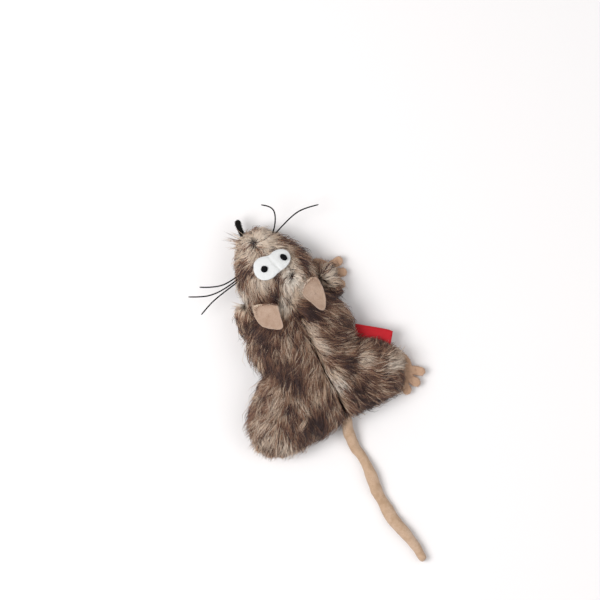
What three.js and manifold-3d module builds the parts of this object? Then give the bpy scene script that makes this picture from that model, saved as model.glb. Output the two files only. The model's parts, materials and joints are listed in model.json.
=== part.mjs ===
// A plush mouse for cats, lying on its belly: fur-fabric covers over stuffing, a bag of dried catnip inside,
// felt paws, suede ears and tail, a white eye patch, thread whiskers and a folded side label.
// Units are millimetres. +Z is up, +Y points to the nose and +X to the mouse's right.
// The origin is on the surface that the toy rests on, under the middle of the belly.
import * as THREE from 'three';
import { mergeVertices } from 'three/addons/utils/BufferGeometryUtils.js';
import Module from 'manifold-3d';

const wasm = await Module();
wasm.setup();

// Sizes that several pieces share
const seamGap = 0.3; // between pieces that are sewn or laid against each other
const floorFlat = 0.5; // how deep the soft undersides are pressed flat
const coverThickness = 3; // fur fabric: its backing and its pile
const overrun = 80; // how far a cutting block runs past what it cuts
const feltThickness = 1.5;

// Torso
const torsoLength = 62;
const torsoFront = 24; // how far the form runs ahead of the origin, into the neck
const torsoAside = -2; // of its middle; the left flank lies fuller than the right
const torsoWidth = 42;
const torsoHeight = 23;
const torsoEndRise = 6.5; // height of the rounded rear end above the pressed underside
const torsoSideSeam = 8.5; // height of the seam between back and belly panels
const spineAside = 0.6; // of the seam between the two back panels
const neckAhead = 17; // where the neck seam crosses the middle line
const neckAside = 0.5;
const shoulderOutset = 1.2; // by which the shoulder seams pass the torso's half width, seen from the origin
const shoulderTurn = 25; // degrees that the shoulder seams face forwards of straight out

// Head
const headReach = 34.6; // of the snout's end, from the neck seam
const headBack = 9; // how far the form runs behind the neck seam
const headWidth = 33;
const headHeight = 21;
const headNoseRise = 7.5;
const headTurn = 6; // degrees that the head looks to the mouse's left
const chinSeam = 6.5;

// Hind legs; each reach is from the hip seam, and each turn is in degrees behind straight out
const hindLegBack = 14; // how far the leg's form runs behind the hip seam
const hindLegHeight = 19.5;
const hindLegEndRise = 5.5;
const rightHindLegReach = 23;
const rightHindLegWidth = 30;
const rightHindLegTurn = 17;
const rightHipInset = 9; // of the hip seam's middle from the torso's half width
const rightHipBack = 22;
const leftHindLegReach = 27;
const leftHindLegWidth = 37;
const leftHindLegTurn = 26;
const leftHipInset = 7.5;
const leftHipBack = 21;

// Front legs
const frontLegBack = 9; // how far the leg's form runs behind the shoulder seam
const frontLegHeight = 16.5;
const frontLegEndRise = 5;
const rightFrontLegReach = 7.6;
const rightFrontLegWidth = 20;
const rightFrontLegTurn = 0;
const rightFrontLegAhead = 16; // of its middle, along the shoulder seam
const leftFrontLegReach = 6.6;
const leftFrontLegWidth = 25;
const leftFrontLegTurn = 20;
const leftFrontLegAhead = 15;
const cheekClearance = 0.8; // between the cheeks and the front legs beside them

// Paws: felt, with a palm that is caught in the leg's end seam and three toes
const toeReach = 12; // of the toes' tips from the middle of the palm
const toeWidth = 3;
const palmRadius = 6.4;
const toeSpread = 27; // degrees between neighbouring toes
const pawHeight = 3.2; // above the floor
const rightHindPawReach = 16; // of the palm's middle, from the hip seam
const rightHindPawTurn = 45; // degrees that the toes point further back than the leg
const leftHindPawReach = 15.7;
const leftHindPawTurn = 25;
const rightFrontPawSink = 2.6; // of the palm's middle, behind the leg's place on the shoulder seam
const rightFrontPawAhead = 7.6; // of the leg's middle line
const rightFrontPawTurn = 26;
const leftFrontPawSink = 2.9;
const leftFrontPawAhead = 2.1;
const leftFrontPawTurn = 25;

// Ears: two suede petals sewn back to back, hinged where they are sewn to the head
const earLength = 11.6;
const earWidth = 10.2;
const earLayerThickness = 0.9;
const earAside = 9.3;
const earAhead = 2.6; // of the neck seam
const earClearance = 0.5; // between the ears and the fur under them
const earRoll = 22; // degrees that the outer edge hangs lower
const earTurn = 12; // degrees that the tips point outwards

// Eye patch and pupils
const eyeAside = 2; // of the patch's middle from the head's middle line
const eyeAhead = 16.5; // of the neck seam
const eyeSpacing = 7.8;
const leftEyeRadius = 4.5;
const rightEyeRadius = 3.9;
const eyeBridgeWidth = 6;
const patchThickness = 1.1;
const pupilRadius = 1.45;
const pupilThickness = 0.7;
const leftPupilAside = 0.2; // of the middle of its lobe, away from the other
const rightPupilAside = 1.2;

// Nose: black yarn wound on a roll
const noseLength = 6.6;
const noseRadius = 1.35;
const noseWindings = 6;
const noseGroove = 0.22;
const noseTipLength = 1.6; // of the rounded end
const noseAside = 1.6; // to the left of the head's middle line
const noseSink = 1.6; // of its root behind the snout's end

// Whiskers: black waxed threads
const whiskerThickness = 0.5;
const whiskerSink = 2;
const leftWhiskerReach = 20;
const rightWhiskerReach = 21;

// Tail: a suede tube
const tailLength = 67.5;
const tailWidth = 4.7;
const tailThickness = 4.2;
const tailRootAside = 0.4;
const tailRootDepth = 2.5; // of its hinge inside the torso's rear end
const tailRootHeight = 6.4;
const tailRootSlope = 13; // length over which the tail comes down to the floor
const tailSwing = 35; // degrees each way
const tailClearance = 1.1;
const tailRoomLength = 14; // of the room around the swinging root

// Side label: a folded woven ribbon, caught in the front edge of the right hind leg
const labelLength = 15.6;
const labelDepth = 7.2;
const ribbonThickness = 0.5;
const labelFoldRadius = 0.75;
const labelReach = 7.6; // of its middle along the leg, from the hip seam
const labelAhead = 10.9; // of its sewn edge's middle from the leg's middle line
const labelTurn = 18.5; // degrees that it turns further back than the leg
const labelHeight = 8;
const labelClearance = 0.5; // between its raw edges and the leg

// Catnip pouch
const pouchLength = 20;
const pouchWidth = 15;
const pouchHeight = 7;
const pouchBack = 6; // of its middle behind the origin

// Swell and taper of each soft form: rows of [share of the length, share of the width, share of the height]
const torsoShares = [
  [0, 1.15, 0.96],
  [0.13, 1.06, 0.98],
  [0.29, 0.97, 1],
  [0.45, 0.93, 1],
  [0.56, 0.98, 1],
  [0.66, 1.08, 0.99],
  [0.77, 1.16, 0.97],
  [0.89, 1.1, 1],
  [1, 1, 1],
];
const headShares = [
  [0, 1, 1],
  [0.2, 1, 1.02],
  [0.42, 1, 1.01],
  [0.64, 0.89, 0.96],
  [0.76, 0.75, 0.88],
  [0.84, 0.66, 0.82],
  [0.92, 0.61, 0.76],
  [1, 0.64, 0.72],
];
const hindLegShares = [
  [0, 1.15, 1],
  [0.35, 1.05, 1],
  [0.45, 0.93, 0.98],
  [0.6, 0.81, 0.88],
  [0.75, 0.74, 0.78],
  [0.88, 0.68, 0.7],
  [1, 0.5, 0.66],
];
const frontLegShares = [
  [0, 1, 1],
  [0.5, 1, 1],
  [0.8, 1, 0.88],
  [1, 0.9, 0.8],
];
const pouchShares = [
  [0, 1, 1],
  [1, 1, 1],
];

// Tail's middle line and girth: rows of [share of the length, sideways share of the length, share of the width]
const tailShares = [
  [0, 0, 0.89],
  [0.09, -0.018, 1.02],
  [0.218, -0.028, 0.89],
  [0.314, -0.024, 0.81],
  [0.406, -0.025, 1.04],
  [0.553, -0.024, 0.91],
  [0.637, -0.021, 0.94],
  [0.772, 0.0015, 0.94],
  [0.886, 0.022, 0.74],
  [1, 0.034, 0.6],
];

// Right half of an ear's outline from its root to its tip: rows of [share of the width, share of the length]
const earShares = [
  [0.41, 0],
  [0.48, 0.2],
  [0.49, 0.42],
  [0.4, 0.68],
  [0.22, 0.9],
  [0, 1],
];

// Routes of the whiskers after they leave the cover: rows of [outwards, forwards, upwards] shares of the reach
const leftWhiskerShares = [
  [[0.31, -0.02, 0.06], [0.65, 0.03, 0.08], [1, 0.23, 0]],
  [[0.3, 0, 0.1], [0.55, 0.1, 0.16], [0.74, 0.22, 0.16]],
  [[0.31, -0.03, 0.02], [0.62, -0.07, 0], [0.95, -0.17, -0.1]],
];
const rightWhiskerShares = [
  [[0.09, 0.08, 0.04], [0.23, 0.28, 0.12], [0.23, 0.43, 0.16], [0.09, 0.57, 0.16]],
  [[0.22, 0.06, 0.06], [0.61, 0.13, 0.1], [1, 0.03, 0.06]],
];

// Where the whiskers leave the cover: shares of the head's length, and degrees up round it from its side
const leftWhiskerRootShares = [0.63, 0.655, 0.61];
const leftWhiskerLifts = [8, 16, 0];
const rightWhiskerRootShares = [0.83, 0.81];
const rightWhiskerLifts = [16, 8];

// Numbers of faces
const torsoFacets = { rings: 16, around: 24 };
const headFacets = { rings: 15, around: 22 };
const legFacets = { rings: 11, around: 16 };
const stuffingFacets = { rings: 8, around: 12 };
const tailFacets = { rings: 22, around: 10 };
const whiskerFacets = { rings: 8, around: 6 };
const arcFacets = 8;
const sweepSteps = 6;
const surfaceSamples = 12;

// Roundness of the soft forms
const endBluntness = 0.68; // 1 is an ellipsoid's end, and less is blunter
const sectionFullness = 0.88; // 1 is an ellipse, and less is squarer

const degrees = THREE.MathUtils.degToRad;
const up = new THREE.Vector3(0, 0, 1);

// Materials
function material(color, roughness, metalness = 0) {
  return new THREE.MeshStandardMaterial({ color, roughness, metalness });
}
const fur = material(0x7d6454, 0.95);
const paleFur = material(0xb9a68c, 0.95);
const stuffingWhite = material(0xe9e6df, 1);
const felt = material(0xc39a78, 0.9);
const suede = material(0xc9a27c, 0.85);
const earSuede = material(0xd9b59c, 0.85);
const white = material(0xf2f2f0, 0.7);
const blackYarn = material(0x1b1817, 0.8);
const blackThread = material(0x141214, 0.5);
const redRibbon = material(0xc8101e, 0.7);
const pouchCotton = material(0xdfd8c4, 0.95);

// Solids
function solidOf(geometry) {
  const bare = geometry.clone();
  bare.deleteAttribute('normal');
  bare.deleteAttribute('uv');
  const merged = mergeVertices(bare);
  return new wasm.Manifold(new wasm.Mesh({
    numProp: 3,
    vertProperties: new Float32Array(merged.attributes.position.array),
    triVerts: new Uint32Array(merged.index.array),
  }));
}

function geometryOf(solid) {
  const made = solid.getMesh();
  const positions = new Float32Array(made.numVert * 3);
  for (let i = 0; i < made.numVert; i++) {
    const start = i * made.numProp;
    positions.set(made.vertProperties.subarray(start, start + 3), i * 3);
  }
  const geometry = new THREE.BufferGeometry();
  geometry.setAttribute('position', new THREE.BufferAttribute(positions, 3));
  geometry.setIndex(new THREE.BufferAttribute(new Uint32Array(made.triVerts), 1));
  const faceted = geometry.toNonIndexed();
  faceted.computeVertexNormals();
  return faceted;
}

function movedBy(solid, matrix) {
  return solid.transform(matrix.elements);
}

function cutBy(solid, ...cutters) {
  return cutters.reduce((left, cutter) => left.subtract(cutter), solid);
}

// Everything on one side of an upright plane at that distance from the origin, which faces along that turn
function beyondUpright(distance, turn) {
  const block = new THREE.BoxGeometry(overrun, 2 * overrun, 2 * overrun);
  block.translate(distance + overrun / 2, 0, 0);
  block.rotateZ(turn);
  return solidOf(block);
}

function aboveLevel(height) {
  const block = new THREE.BoxGeometry(2 * overrun, 2 * overrun, overrun);
  block.translate(0, 0, height + overrun / 2);
  return solidOf(block);
}

function belowLevel(height) {
  const block = new THREE.BoxGeometry(2 * overrun, 2 * overrun, overrun);
  block.translate(0, 0, height - overrun / 2);
  return solidOf(block);
}

// Soft forms. A form is { length, back, width, height, endRise, shares }: it lies along +Y from -back to
// length - back, its underside at -floorFlat, and its two ends at endRise above that.
function sharesAt(rows, along) {
  const places = rows.map((row) => row[0]);
  const values = rows.flatMap((row) => row.slice(1));
  const curve = new THREE.CubicInterpolant(places, values, rows[0].length - 1);
  return Array.from(curve.evaluate(along));
}

function sectionAt(form, along) {
  const [widthShare, heightShare] = sharesAt(form.shares, along);
  const roundness = 2 * Math.sqrt(Math.max(0, along * (1 - along)));
  const swell = Math.pow(roundness, endBluntness);
  const halfHeight = (form.height * heightShare * swell) / 2;
  return {
    y: along * form.length - form.back,
    halfWidth: (form.width * widthShare * swell) / 2,
    halfHeight,
    middle: halfHeight - floorFlat + form.endRise * (1 - swell),
  };
}

function rounded(value) {
  return Math.sign(value) * Math.pow(Math.abs(value), sectionFullness);
}

// The point of a form's surface at that share of its length and that turn round its section, from +X upwards
function pointOn(form, along, turn) {
  const section = sectionAt(form, along);
  return new THREE.Vector3(
    section.halfWidth * rounded(Math.cos(turn)),
    section.y,
    section.middle + section.halfHeight * rounded(Math.sin(turn)),
  );
}

// How high a form's top is at a place of its own frame
function topAt(form, x, y) {
  const section = sectionAt(form, THREE.MathUtils.clamp((y + form.back) / form.length, 0, 1));
  const aside = Math.min(1, Math.abs(x) / section.halfWidth);
  const turn = Math.acos(Math.pow(aside, 1 / sectionFullness));
  return section.middle + section.halfHeight * rounded(Math.sin(turn));
}

// One closed skin over rings of points, with a single point at each end
function skinOver(rings, firstEnd, lastEnd) {
  const around = rings[0].length;
  const points = [firstEnd, ...rings.flat(), lastEnd];
  const faces = [];
  const at = (ring, k) => 1 + ring * around + (k % around);
  for (let k = 0; k < around; k++) {
    faces.push(0, at(0, k), at(0, k + 1));
    faces.push(points.length - 1, at(rings.length - 1, k + 1), at(rings.length - 1, k));
    for (let ring = 0; ring < rings.length - 1; ring++) {
      faces.push(at(ring, k), at(ring + 1, k + 1), at(ring, k + 1));
      faces.push(at(ring, k), at(ring + 1, k), at(ring + 1, k + 1));
    }
  }
  const geometry = new THREE.BufferGeometry().setFromPoints(points);
  geometry.setIndex(faces);
  return solidOf(geometry);
}

function softForm(form, facets) {
  const rings = [];
  for (let i = 1; i < facets.rings; i++) {
    const along = (1 - Math.cos((Math.PI * i) / facets.rings)) / 2;
    const ring = [];
    for (let k = 0; k < facets.around; k++) {
      ring.push(pointOn(form, along, (2 * Math.PI * (k + 0.5)) / facets.around));
    }
    rings.push(ring);
  }
  return skinOver(rings, pointOn(form, 0, 0), pointOn(form, 1, 0));
}

// The form's solid, thicker by that much all round, or thinner where it is negative
function resized(form, facets, by) {
  const middleY = form.length / 2 - form.back;
  const middleZ = form.height / 2 - floorFlat;
  const scale = new THREE.Matrix4().makeScale(
    (form.width + 2 * by) / form.width,
    (form.length + 2 * by) / form.length,
    (form.height + 2 * by) / form.height,
  );
  const matrix = new THREE.Matrix4()
    .makeTranslation(0, middleY, middleZ)
    .multiply(scale)
    .multiply(new THREE.Matrix4().makeTranslation(0, -middleY, -middleZ));
  return movedBy(softForm(form, facets), matrix);
}

// A round or oval tube along a curve that never stands upright; girthAt gives its half width and half height
function tubeAlong(curve, facets, girthAt) {
  const rings = [];
  for (let i = 0; i <= facets.rings; i++) {
    const along = i / facets.rings;
    const centre = curve.getPoint(along);
    const ahead = curve.getTangent(along);
    const aside = new THREE.Vector3().crossVectors(ahead, up).normalize();
    const above = new THREE.Vector3().crossVectors(aside, ahead);
    const [halfWidth, halfHeight] = girthAt(along);
    const ring = [];
    for (let k = 0; k < facets.around; k++) {
      const turn = (2 * Math.PI * k) / facets.around;
      ring.push(centre.clone()
        .addScaledVector(aside, halfWidth * Math.cos(turn))
        .addScaledVector(above, halfHeight * Math.sin(turn)));
    }
    rings.push(ring);
  }
  return skinOver(rings, curve.getPoint(0), curve.getPoint(1));
}

// Scene graph
const mouse = new THREE.Group();

function groupAt(position, turnZ, parent = mouse) {
  const group = new THREE.Group();
  group.position.copy(position);
  group.rotation.z = turnZ;
  parent.add(group);
  mouse.updateMatrixWorld(true);
  return group;
}

function addPiece(group, name, solid, look) {
  const mesh = new THREE.Mesh(geometryOf(solid), look);
  mesh.name = name;
  group.add(mesh);
}

// A solid that is given in the mouse's frame, brought into a group's own, and the way back
function intoFrameOf(group, solid) {
  return movedBy(solid, group.matrixWorld.clone().invert());
}

function fromFrameOf(group, solid) {
  return movedBy(solid, group.matrixWorld);
}

// Forms and places of the torso and the head
const torso = {
  length: torsoLength,
  back: torsoLength - torsoFront,
  width: torsoWidth,
  height: torsoHeight,
  endRise: torsoEndRise,
  shares: torsoShares,
};
const head = {
  length: headBack + headReach,
  back: headBack,
  width: headWidth,
  height: headHeight,
  endRise: headNoseRise,
  shares: headShares,
};
const torsoGroup = groupAt(new THREE.Vector3(torsoAside, 0, 0), 0);
const neckPoint = new THREE.Vector3(neckAside, neckAhead, 0);
const headGroup = groupAt(neckPoint, degrees(headTurn));

// Where a shoulder seam is at a distance ahead of the origin
function shoulderAside(ahead) {
  const turn = degrees(shoulderTurn);
  return (torsoWidth / 2 + shoulderOutset - ahead * Math.sin(turn)) / Math.cos(turn);
}

// Legs. A leg's form lies along its group's +Y, which points outwards; its +X points back on the right side
// of the mouse and ahead on the left side.
const rightHindLeg = {
  name: 'hind',
  side: 'right',
  sign: 1,
  reach: rightHindLegReach,
  width: rightHindLegWidth,
  turn: degrees(rightHindLegTurn),
  place: new THREE.Vector3(torsoWidth / 2 - rightHipInset, -rightHipBack, 0),
  paw: { along: rightHindPawReach, ahead: 0, turn: degrees(rightHindPawTurn) },
};
const leftHindLeg = {
  name: 'hind',
  side: 'left',
  sign: -1,
  reach: leftHindLegReach,
  width: leftHindLegWidth,
  turn: degrees(leftHindLegTurn),
  place: new THREE.Vector3(leftHipInset - torsoWidth / 2, -leftHipBack, 0),
  paw: { along: leftHindPawReach, ahead: 0, turn: degrees(leftHindPawTurn) },
};
const rightFrontLeg = {
  name: 'front',
  side: 'right',
  sign: 1,
  reach: rightFrontLegReach,
  width: rightFrontLegWidth,
  turn: degrees(rightFrontLegTurn),
  place: new THREE.Vector3(shoulderAside(rightFrontLegAhead), rightFrontLegAhead, 0),
  paw: { along: -rightFrontPawSink, ahead: rightFrontPawAhead, turn: degrees(rightFrontPawTurn) },
};
const leftFrontLeg = {
  name: 'front',
  side: 'left',
  sign: -1,
  reach: leftFrontLegReach,
  width: leftFrontLegWidth,
  turn: degrees(leftFrontLegTurn),
  place: new THREE.Vector3(-shoulderAside(leftFrontLegAhead), leftFrontLegAhead, 0),
  paw: { along: -leftFrontPawSink, ahead: leftFrontPawAhead, turn: degrees(leftFrontPawTurn) },
};
const legs = [rightHindLeg, leftHindLeg, rightFrontLeg, leftFrontLeg];
for (const leg of legs) {
  const hind = leg.name === 'hind';
  const back = hind ? hindLegBack : frontLegBack;
  leg.group = groupAt(leg.place, -leg.sign * (Math.PI / 2 + leg.turn));
  leg.form = {
    length: back + leg.reach,
    back,
    width: leg.width,
    height: hind ? hindLegHeight : frontLegHeight,
    endRise: hind ? hindLegEndRise : frontLegEndRise,
    shares: hind ? hindLegShares : frontLegShares,
  };
}
const tailGroup = groupAt(new THREE.Vector3(tailRootAside, tailRootDepth - torso.back, tailRootHeight), 0);

// Seams where the moving parts meet the torso. Each is given as all that lies beyond it, from a gap ahead.
const floor = belowLevel(0);

function beyondNeck(gap) {
  const block = beyondUpright(gap, Math.PI / 2 + degrees(headTurn));
  return movedBy(block, new THREE.Matrix4().makeTranslation(neckPoint));
}

function beyondLegSeam(leg, gap) {
  const turn = leg.name === 'hind' ? -leg.turn : degrees(shoulderTurn);
  const block = beyondUpright(gap, leg.sign > 0 ? turn : Math.PI - turn);
  return movedBy(block, new THREE.Matrix4().makeTranslation(leg.place));
}

// The room that the tail's root sweeps as it swings
function tailFan() {
  const halfWidth = tailWidth / 2 + tailClearance;
  const height = tailThickness + 2 * tailClearance;
  const arm = new THREE.BoxGeometry(2 * halfWidth, tailRoomLength, height);
  arm.translate(0, -tailRoomLength / 2, 0);
  const hub = new THREE.CylinderGeometry(halfWidth, halfWidth, height, 2 * arcFacets);
  hub.rotateX(Math.PI / 2);
  let fan = solidOf(hub);
  for (let step = -sweepSteps; step <= sweepSteps; step++) {
    const turned = arm.clone().rotateZ((degrees(tailSwing) * step) / sweepSteps);
    fan = fan.add(solidOf(turned));
  }
  return fromFrameOf(tailGroup, fan);
}
const tailRoom = tailFan();

// Torso: two back panels, a belly panel, stuffing and the catnip pouch
function torsoPieces() {
  const away = [beyondNeck(-seamGap / 2), ...legs.map((leg) => beyondLegSeam(leg, -seamGap / 2)), tailRoom];
  const local = away.map((cutter) => intoFrameOf(torsoGroup, cutter));
  const spine = spineAside - torsoAside;
  const outside = cutBy(softForm(torso, torsoFacets), floor, ...local);
  const shell = outside.subtract(resized(torso, stuffingFacets, -coverThickness));
  const upper = shell.intersect(aboveLevel(torsoSideSeam + seamGap / 2));
  const rightSide = beyondUpright(spine + seamGap / 2, 0);
  const leftSide = beyondUpright(seamGap / 2 - spine, Math.PI);
  addPiece(torsoGroup, 'back_panel_right', upper.intersect(rightSide), fur);
  addPiece(torsoGroup, 'back_panel_left', upper.intersect(leftSide), fur);
  addPiece(torsoGroup, 'belly_panel', shell.intersect(belowLevel(torsoSideSeam - seamGap / 2)), fur);

  const pouch = {
    length: pouchLength,
    back: pouchLength / 2 + pouchBack,
    width: pouchWidth,
    height: pouchHeight,
    endRise: pouchHeight / 2,
    shares: pouchShares,
  };
  const lift = new THREE.Matrix4().makeTranslation(0, 0, coverThickness + seamGap);
  addPiece(torsoGroup, 'catnip_pouch', movedBy(softForm(pouch, stuffingFacets), lift), pouchCotton);
  const pocket = movedBy(resized(pouch, stuffingFacets, seamGap), lift);
  const wad = resized(torso, stuffingFacets, -coverThickness - seamGap);
  addPiece(torsoGroup, 'body_stuffing', cutBy(wad, pocket, ...local), stuffingWhite);
}
torsoPieces();

// Head: an upper cover and a chin panel over stuffing, with nose, whiskers and eyes
const behindNeck = beyondUpright(-seamGap / 2, -Math.PI / 2);

// A whisker's middle line in the head's frame, from inside the cover; extra lengthens the inner end
function whiskerCurve(side, rootShare, lift, reach, shares, extra) {
  const root = pointOn(head, rootShare, side > 0 ? degrees(lift) : Math.PI - degrees(lift));
  const points = shares.map(([outwards, forwards, upwards]) => new THREE.Vector3(
    root.x + side * outwards * reach,
    root.y + forwards * reach,
    root.z + upwards * reach,
  ));
  const inward = root.clone().sub(points[0]).setLength(whiskerSink + extra);
  return new THREE.CatmullRomCurve3([root.clone().add(inward), root, ...points]);
}

function whiskersOf(side, rootShares, lifts, reach, routes) {
  return routes.map((route, i) => {
    const thread = (grow) => tubeAlong(
      whiskerCurve(side, rootShares[i], lifts[i], reach, route, grow),
      whiskerFacets,
      () => [whiskerThickness / 2 + grow, whiskerThickness / 2 + grow],
    );
    return {
      name: `whisker_${side > 0 ? 'right' : 'left'}_${i + 1}`,
      solid: thread(0),
      socket: thread(seamGap),
    };
  });
}

// All that stands over a round place of the head's top
function overDisc(radius, x) {
  const disc = new THREE.CylinderGeometry(radius, radius, overrun, 3 * arcFacets);
  disc.rotateX(Math.PI / 2).translate(x, eyeAhead, overrun / 2 + chinSeam);
  return solidOf(disc);
}

function overEyePatch() {
  const bridge = new THREE.BoxGeometry(eyeSpacing, eyeBridgeWidth, overrun);
  bridge.translate(eyeAside, eyeAhead, overrun / 2 + chinSeam);
  return overDisc(leftEyeRadius, eyeAside - eyeSpacing / 2)
    .add(overDisc(rightEyeRadius, eyeAside + eyeSpacing / 2))
    .add(solidOf(bridge));
}

// A layer on the head's cover, from one height above it to another
function layerOnHead(from, to) {
  return resized(head, headFacets, to).subtract(resized(head, headFacets, from));
}

// A roll along +Y, whose root end is at the origin, with a groove between its windings
function woundRoll() {
  const profile = [new THREE.Vector2(0, 0)];
  const steps = 4 * noseWindings;
  for (let i = 0; i < steps; i++) {
    const along = (noseLength * i) / steps;
    const wave = Math.abs(Math.sin((Math.PI * noseWindings * i) / steps));
    const pastBarrel = Math.max(0, along - (noseLength - noseTipLength)) / noseTipLength;
    const radius = (noseRadius - noseGroove * (1 - wave)) * Math.sqrt(1 - pastBarrel * pastBarrel);
    profile.push(new THREE.Vector2(radius, along));
  }
  profile.push(new THREE.Vector2(0, noseLength));
  return solidOf(new THREE.LatheGeometry(profile, arcFacets));
}

function headPieces() {
  const whiskers = [
    ...whiskersOf(-1, leftWhiskerRootShares, leftWhiskerLifts, leftWhiskerReach, leftWhiskerShares),
    ...whiskersOf(1, rightWhiskerRootShares, rightWhiskerLifts, rightWhiskerReach, rightWhiskerShares),
  ];
  const nosePlace = new THREE.Matrix4().makeTranslation(
    -noseAside,
    headReach - noseSink,
    headNoseRise - floorFlat,
  );
  const noseHole = new THREE.CylinderGeometry(
    noseRadius + seamGap,
    noseRadius + seamGap,
    noseLength + seamGap,
    2 * arcFacets,
  );
  noseHole.translate(0, (noseLength - seamGap) / 2, 0);
  const sockets = [movedBy(solidOf(noseHole), nosePlace), ...whiskers.map((whisker) => whisker.socket)];

  const outside = cutBy(softForm(head, headFacets), floor, behindNeck);
  const inside = resized(head, stuffingFacets, -coverThickness);
  const shell = cutBy(outside, inside, ...sockets);
  addPiece(headGroup, 'head_cover', shell.intersect(aboveLevel(chinSeam + seamGap / 2)), fur);
  addPiece(headGroup, 'chin_panel', shell.intersect(belowLevel(chinSeam - seamGap / 2)), paleFur);
  const wad = resized(head, stuffingFacets, -coverThickness - seamGap);
  addPiece(headGroup, 'head_stuffing', cutBy(wad, behindNeck, ...sockets), stuffingWhite);

  addPiece(headGroup, 'nose', movedBy(woundRoll(), nosePlace), blackYarn);
  for (const whisker of whiskers) {
    addPiece(headGroup, whisker.name, whisker.solid, blackThread);
  }

  const patchTop = seamGap + patchThickness;
  addPiece(headGroup, 'eye_patch', layerOnHead(seamGap, patchTop).intersect(overEyePatch()), white);
  const lens = layerOnHead(patchTop + seamGap, patchTop + seamGap + pupilThickness);
  const leftPupil = eyeAside - eyeSpacing / 2 - leftPupilAside;
  const rightPupil = eyeAside + eyeSpacing / 2 + rightPupilAside;
  addPiece(headGroup, 'pupil_left', lens.intersect(overDisc(pupilRadius, leftPupil)), blackThread);
  addPiece(headGroup, 'pupil_right', lens.intersect(overDisc(pupilRadius, rightPupil)), blackThread);
}
headPieces();

// Ears
function petal() {
  const side = earShares.map(([across, along]) => new THREE.Vector2(across * earWidth, -along * earLength));
  const otherSide = side.slice(0, -1).reverse().map((point) => new THREE.Vector2(-point.x, point.y));
  const shape = new THREE.Shape().moveTo(side[0].x, side[0].y);
  shape.splineThru([...side.slice(1), ...otherSide]);
  shape.closePath();
  return new THREE.ExtrudeGeometry(shape, {
    depth: earLayerThickness,
    bevelEnabled: false,
    curveSegments: 1,
  });
}

// The height of the fur under a point of an ear, given in the ear's own frame
function furUnder(group, point) {
  const place = point.clone().applyMatrix4(group.matrixWorld);
  const onHead = headGroup.worldToLocal(place.clone());
  if (onHead.y > 0) {
    return topAt(head, onHead.x, onHead.y) - place.z;
  }
  return topAt(torso, place.x - torsoAside, place.y) - place.z;
}

function earPieces(side, sign) {
  const group = new THREE.Group();
  group.rotation.order = 'ZYX';
  group.position.set(sign * earAside, earAhead, 0);
  group.rotation.z = sign * degrees(earTurn);
  group.rotation.y = sign * degrees(earRoll);
  headGroup.add(group);
  mouse.updateMatrixWorld(true);

  // The root rests on the head, and the petal tips up from there until it clears the fur under it
  let rootLift = 0;
  for (let i = -surfaceSamples; i <= surfaceSamples; i++) {
    const point = new THREE.Vector3((earShares[0][0] * earWidth * i) / surfaceSamples, 0, 0);
    rootLift = Math.max(rootLift, furUnder(group, point));
  }
  group.position.z = rootLift + earClearance;
  mouse.updateMatrixWorld(true);
  let tilt = -Math.PI / 2;
  for (const [across, along] of earShares.slice(1)) {
    for (const edge of [-across, 0, across]) {
      const point = new THREE.Vector3(edge * earWidth, -along * earLength, 0);
      const rise = furUnder(group, point) + earClearance;
      tilt = Math.max(tilt, Math.atan2(rise, along * earLength));
    }
  }
  group.rotation.x = -tilt;
  mouse.updateMatrixWorld(true);
  addPiece(group, `ear_back_${side}`, solidOf(petal()), earSuede);
  const lining = petal().translate(0, 0, earLayerThickness + seamGap);
  addPiece(group, `ear_lining_${side}`, solidOf(lining), earSuede);
}
earPieces('left', -1);
earPieces('right', 1);

// A felt paw around the middle of its palm, with its toes towards +Y, larger all round by grow
function pawShape(grow) {
  const height = feltThickness + 2 * grow;
  const radius = palmRadius + grow;
  const half = toeWidth / 2 + grow;
  const palm = new THREE.CylinderGeometry(radius, radius, height, 3 * arcFacets);
  palm.rotateX(Math.PI / 2);
  const shape = new THREE.Shape();
  shape.moveTo(-half, 0);
  shape.lineTo(half, 0);
  shape.absarc(0, toeReach + grow - half, half, 0, Math.PI);
  shape.closePath();
  const toe = new THREE.ExtrudeGeometry(shape, {
    depth: height,
    bevelEnabled: false,
    curveSegments: arcFacets,
  });
  toe.translate(0, 0, -height / 2);
  let paw = solidOf(palm);
  for (const step of [-1, 0, 1]) {
    paw = paw.add(solidOf(toe.clone().rotateZ(step * degrees(toeSpread))));
  }
  return paw;
}

// The head's outline, standing upright and a clearance larger, in the mouse's frame
function cheekRoom() {
  const tall = resized({ ...head, height: overrun }, headFacets, cheekClearance);
  return fromFrameOf(headGroup, movedBy(tall, new THREE.Matrix4().makeTranslation(0, 0, -overrun / 2)));
}
const cheeks = cheekRoom();

// Legs: a fur cover over stuffing, with a felt paw caught in its end
function legPieces(leg) {
  const { form, group, paw } = leg;
  const away = leg.name === 'hind' ? [tailRoom] : [cheeks];
  const local = away.map((cutter) => intoFrameOf(group, cutter));
  const side = intoFrameOf(group, beyondLegSeam(leg, seamGap / 2));
  const pawPlace = new THREE.Matrix4()
    .makeTranslation(-leg.sign * paw.ahead, paw.along, pawHeight)
    .multiply(new THREE.Matrix4().makeRotationZ(-leg.sign * paw.turn));
  const slot = movedBy(pawShape(seamGap), pawPlace);

  const inside = resized(form, stuffingFacets, -coverThickness);
  const cover = cutBy(softForm(form, legFacets), inside, slot, floor, ...local).intersect(side);
  const wad = cutBy(resized(form, stuffingFacets, -coverThickness - seamGap), slot, ...local);
  const felted = cutBy(movedBy(pawShape(0), pawPlace), ...local).intersect(side);
  addPiece(group, `${leg.name}_leg_cover_${leg.side}`, cover, fur);
  addPiece(group, `${leg.name}_leg_stuffing_${leg.side}`, wad.intersect(side), stuffingWhite);
  addPiece(group, `${leg.name}_paw_${leg.side}`, felted, felt);
}
legs.forEach(legPieces);

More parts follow.
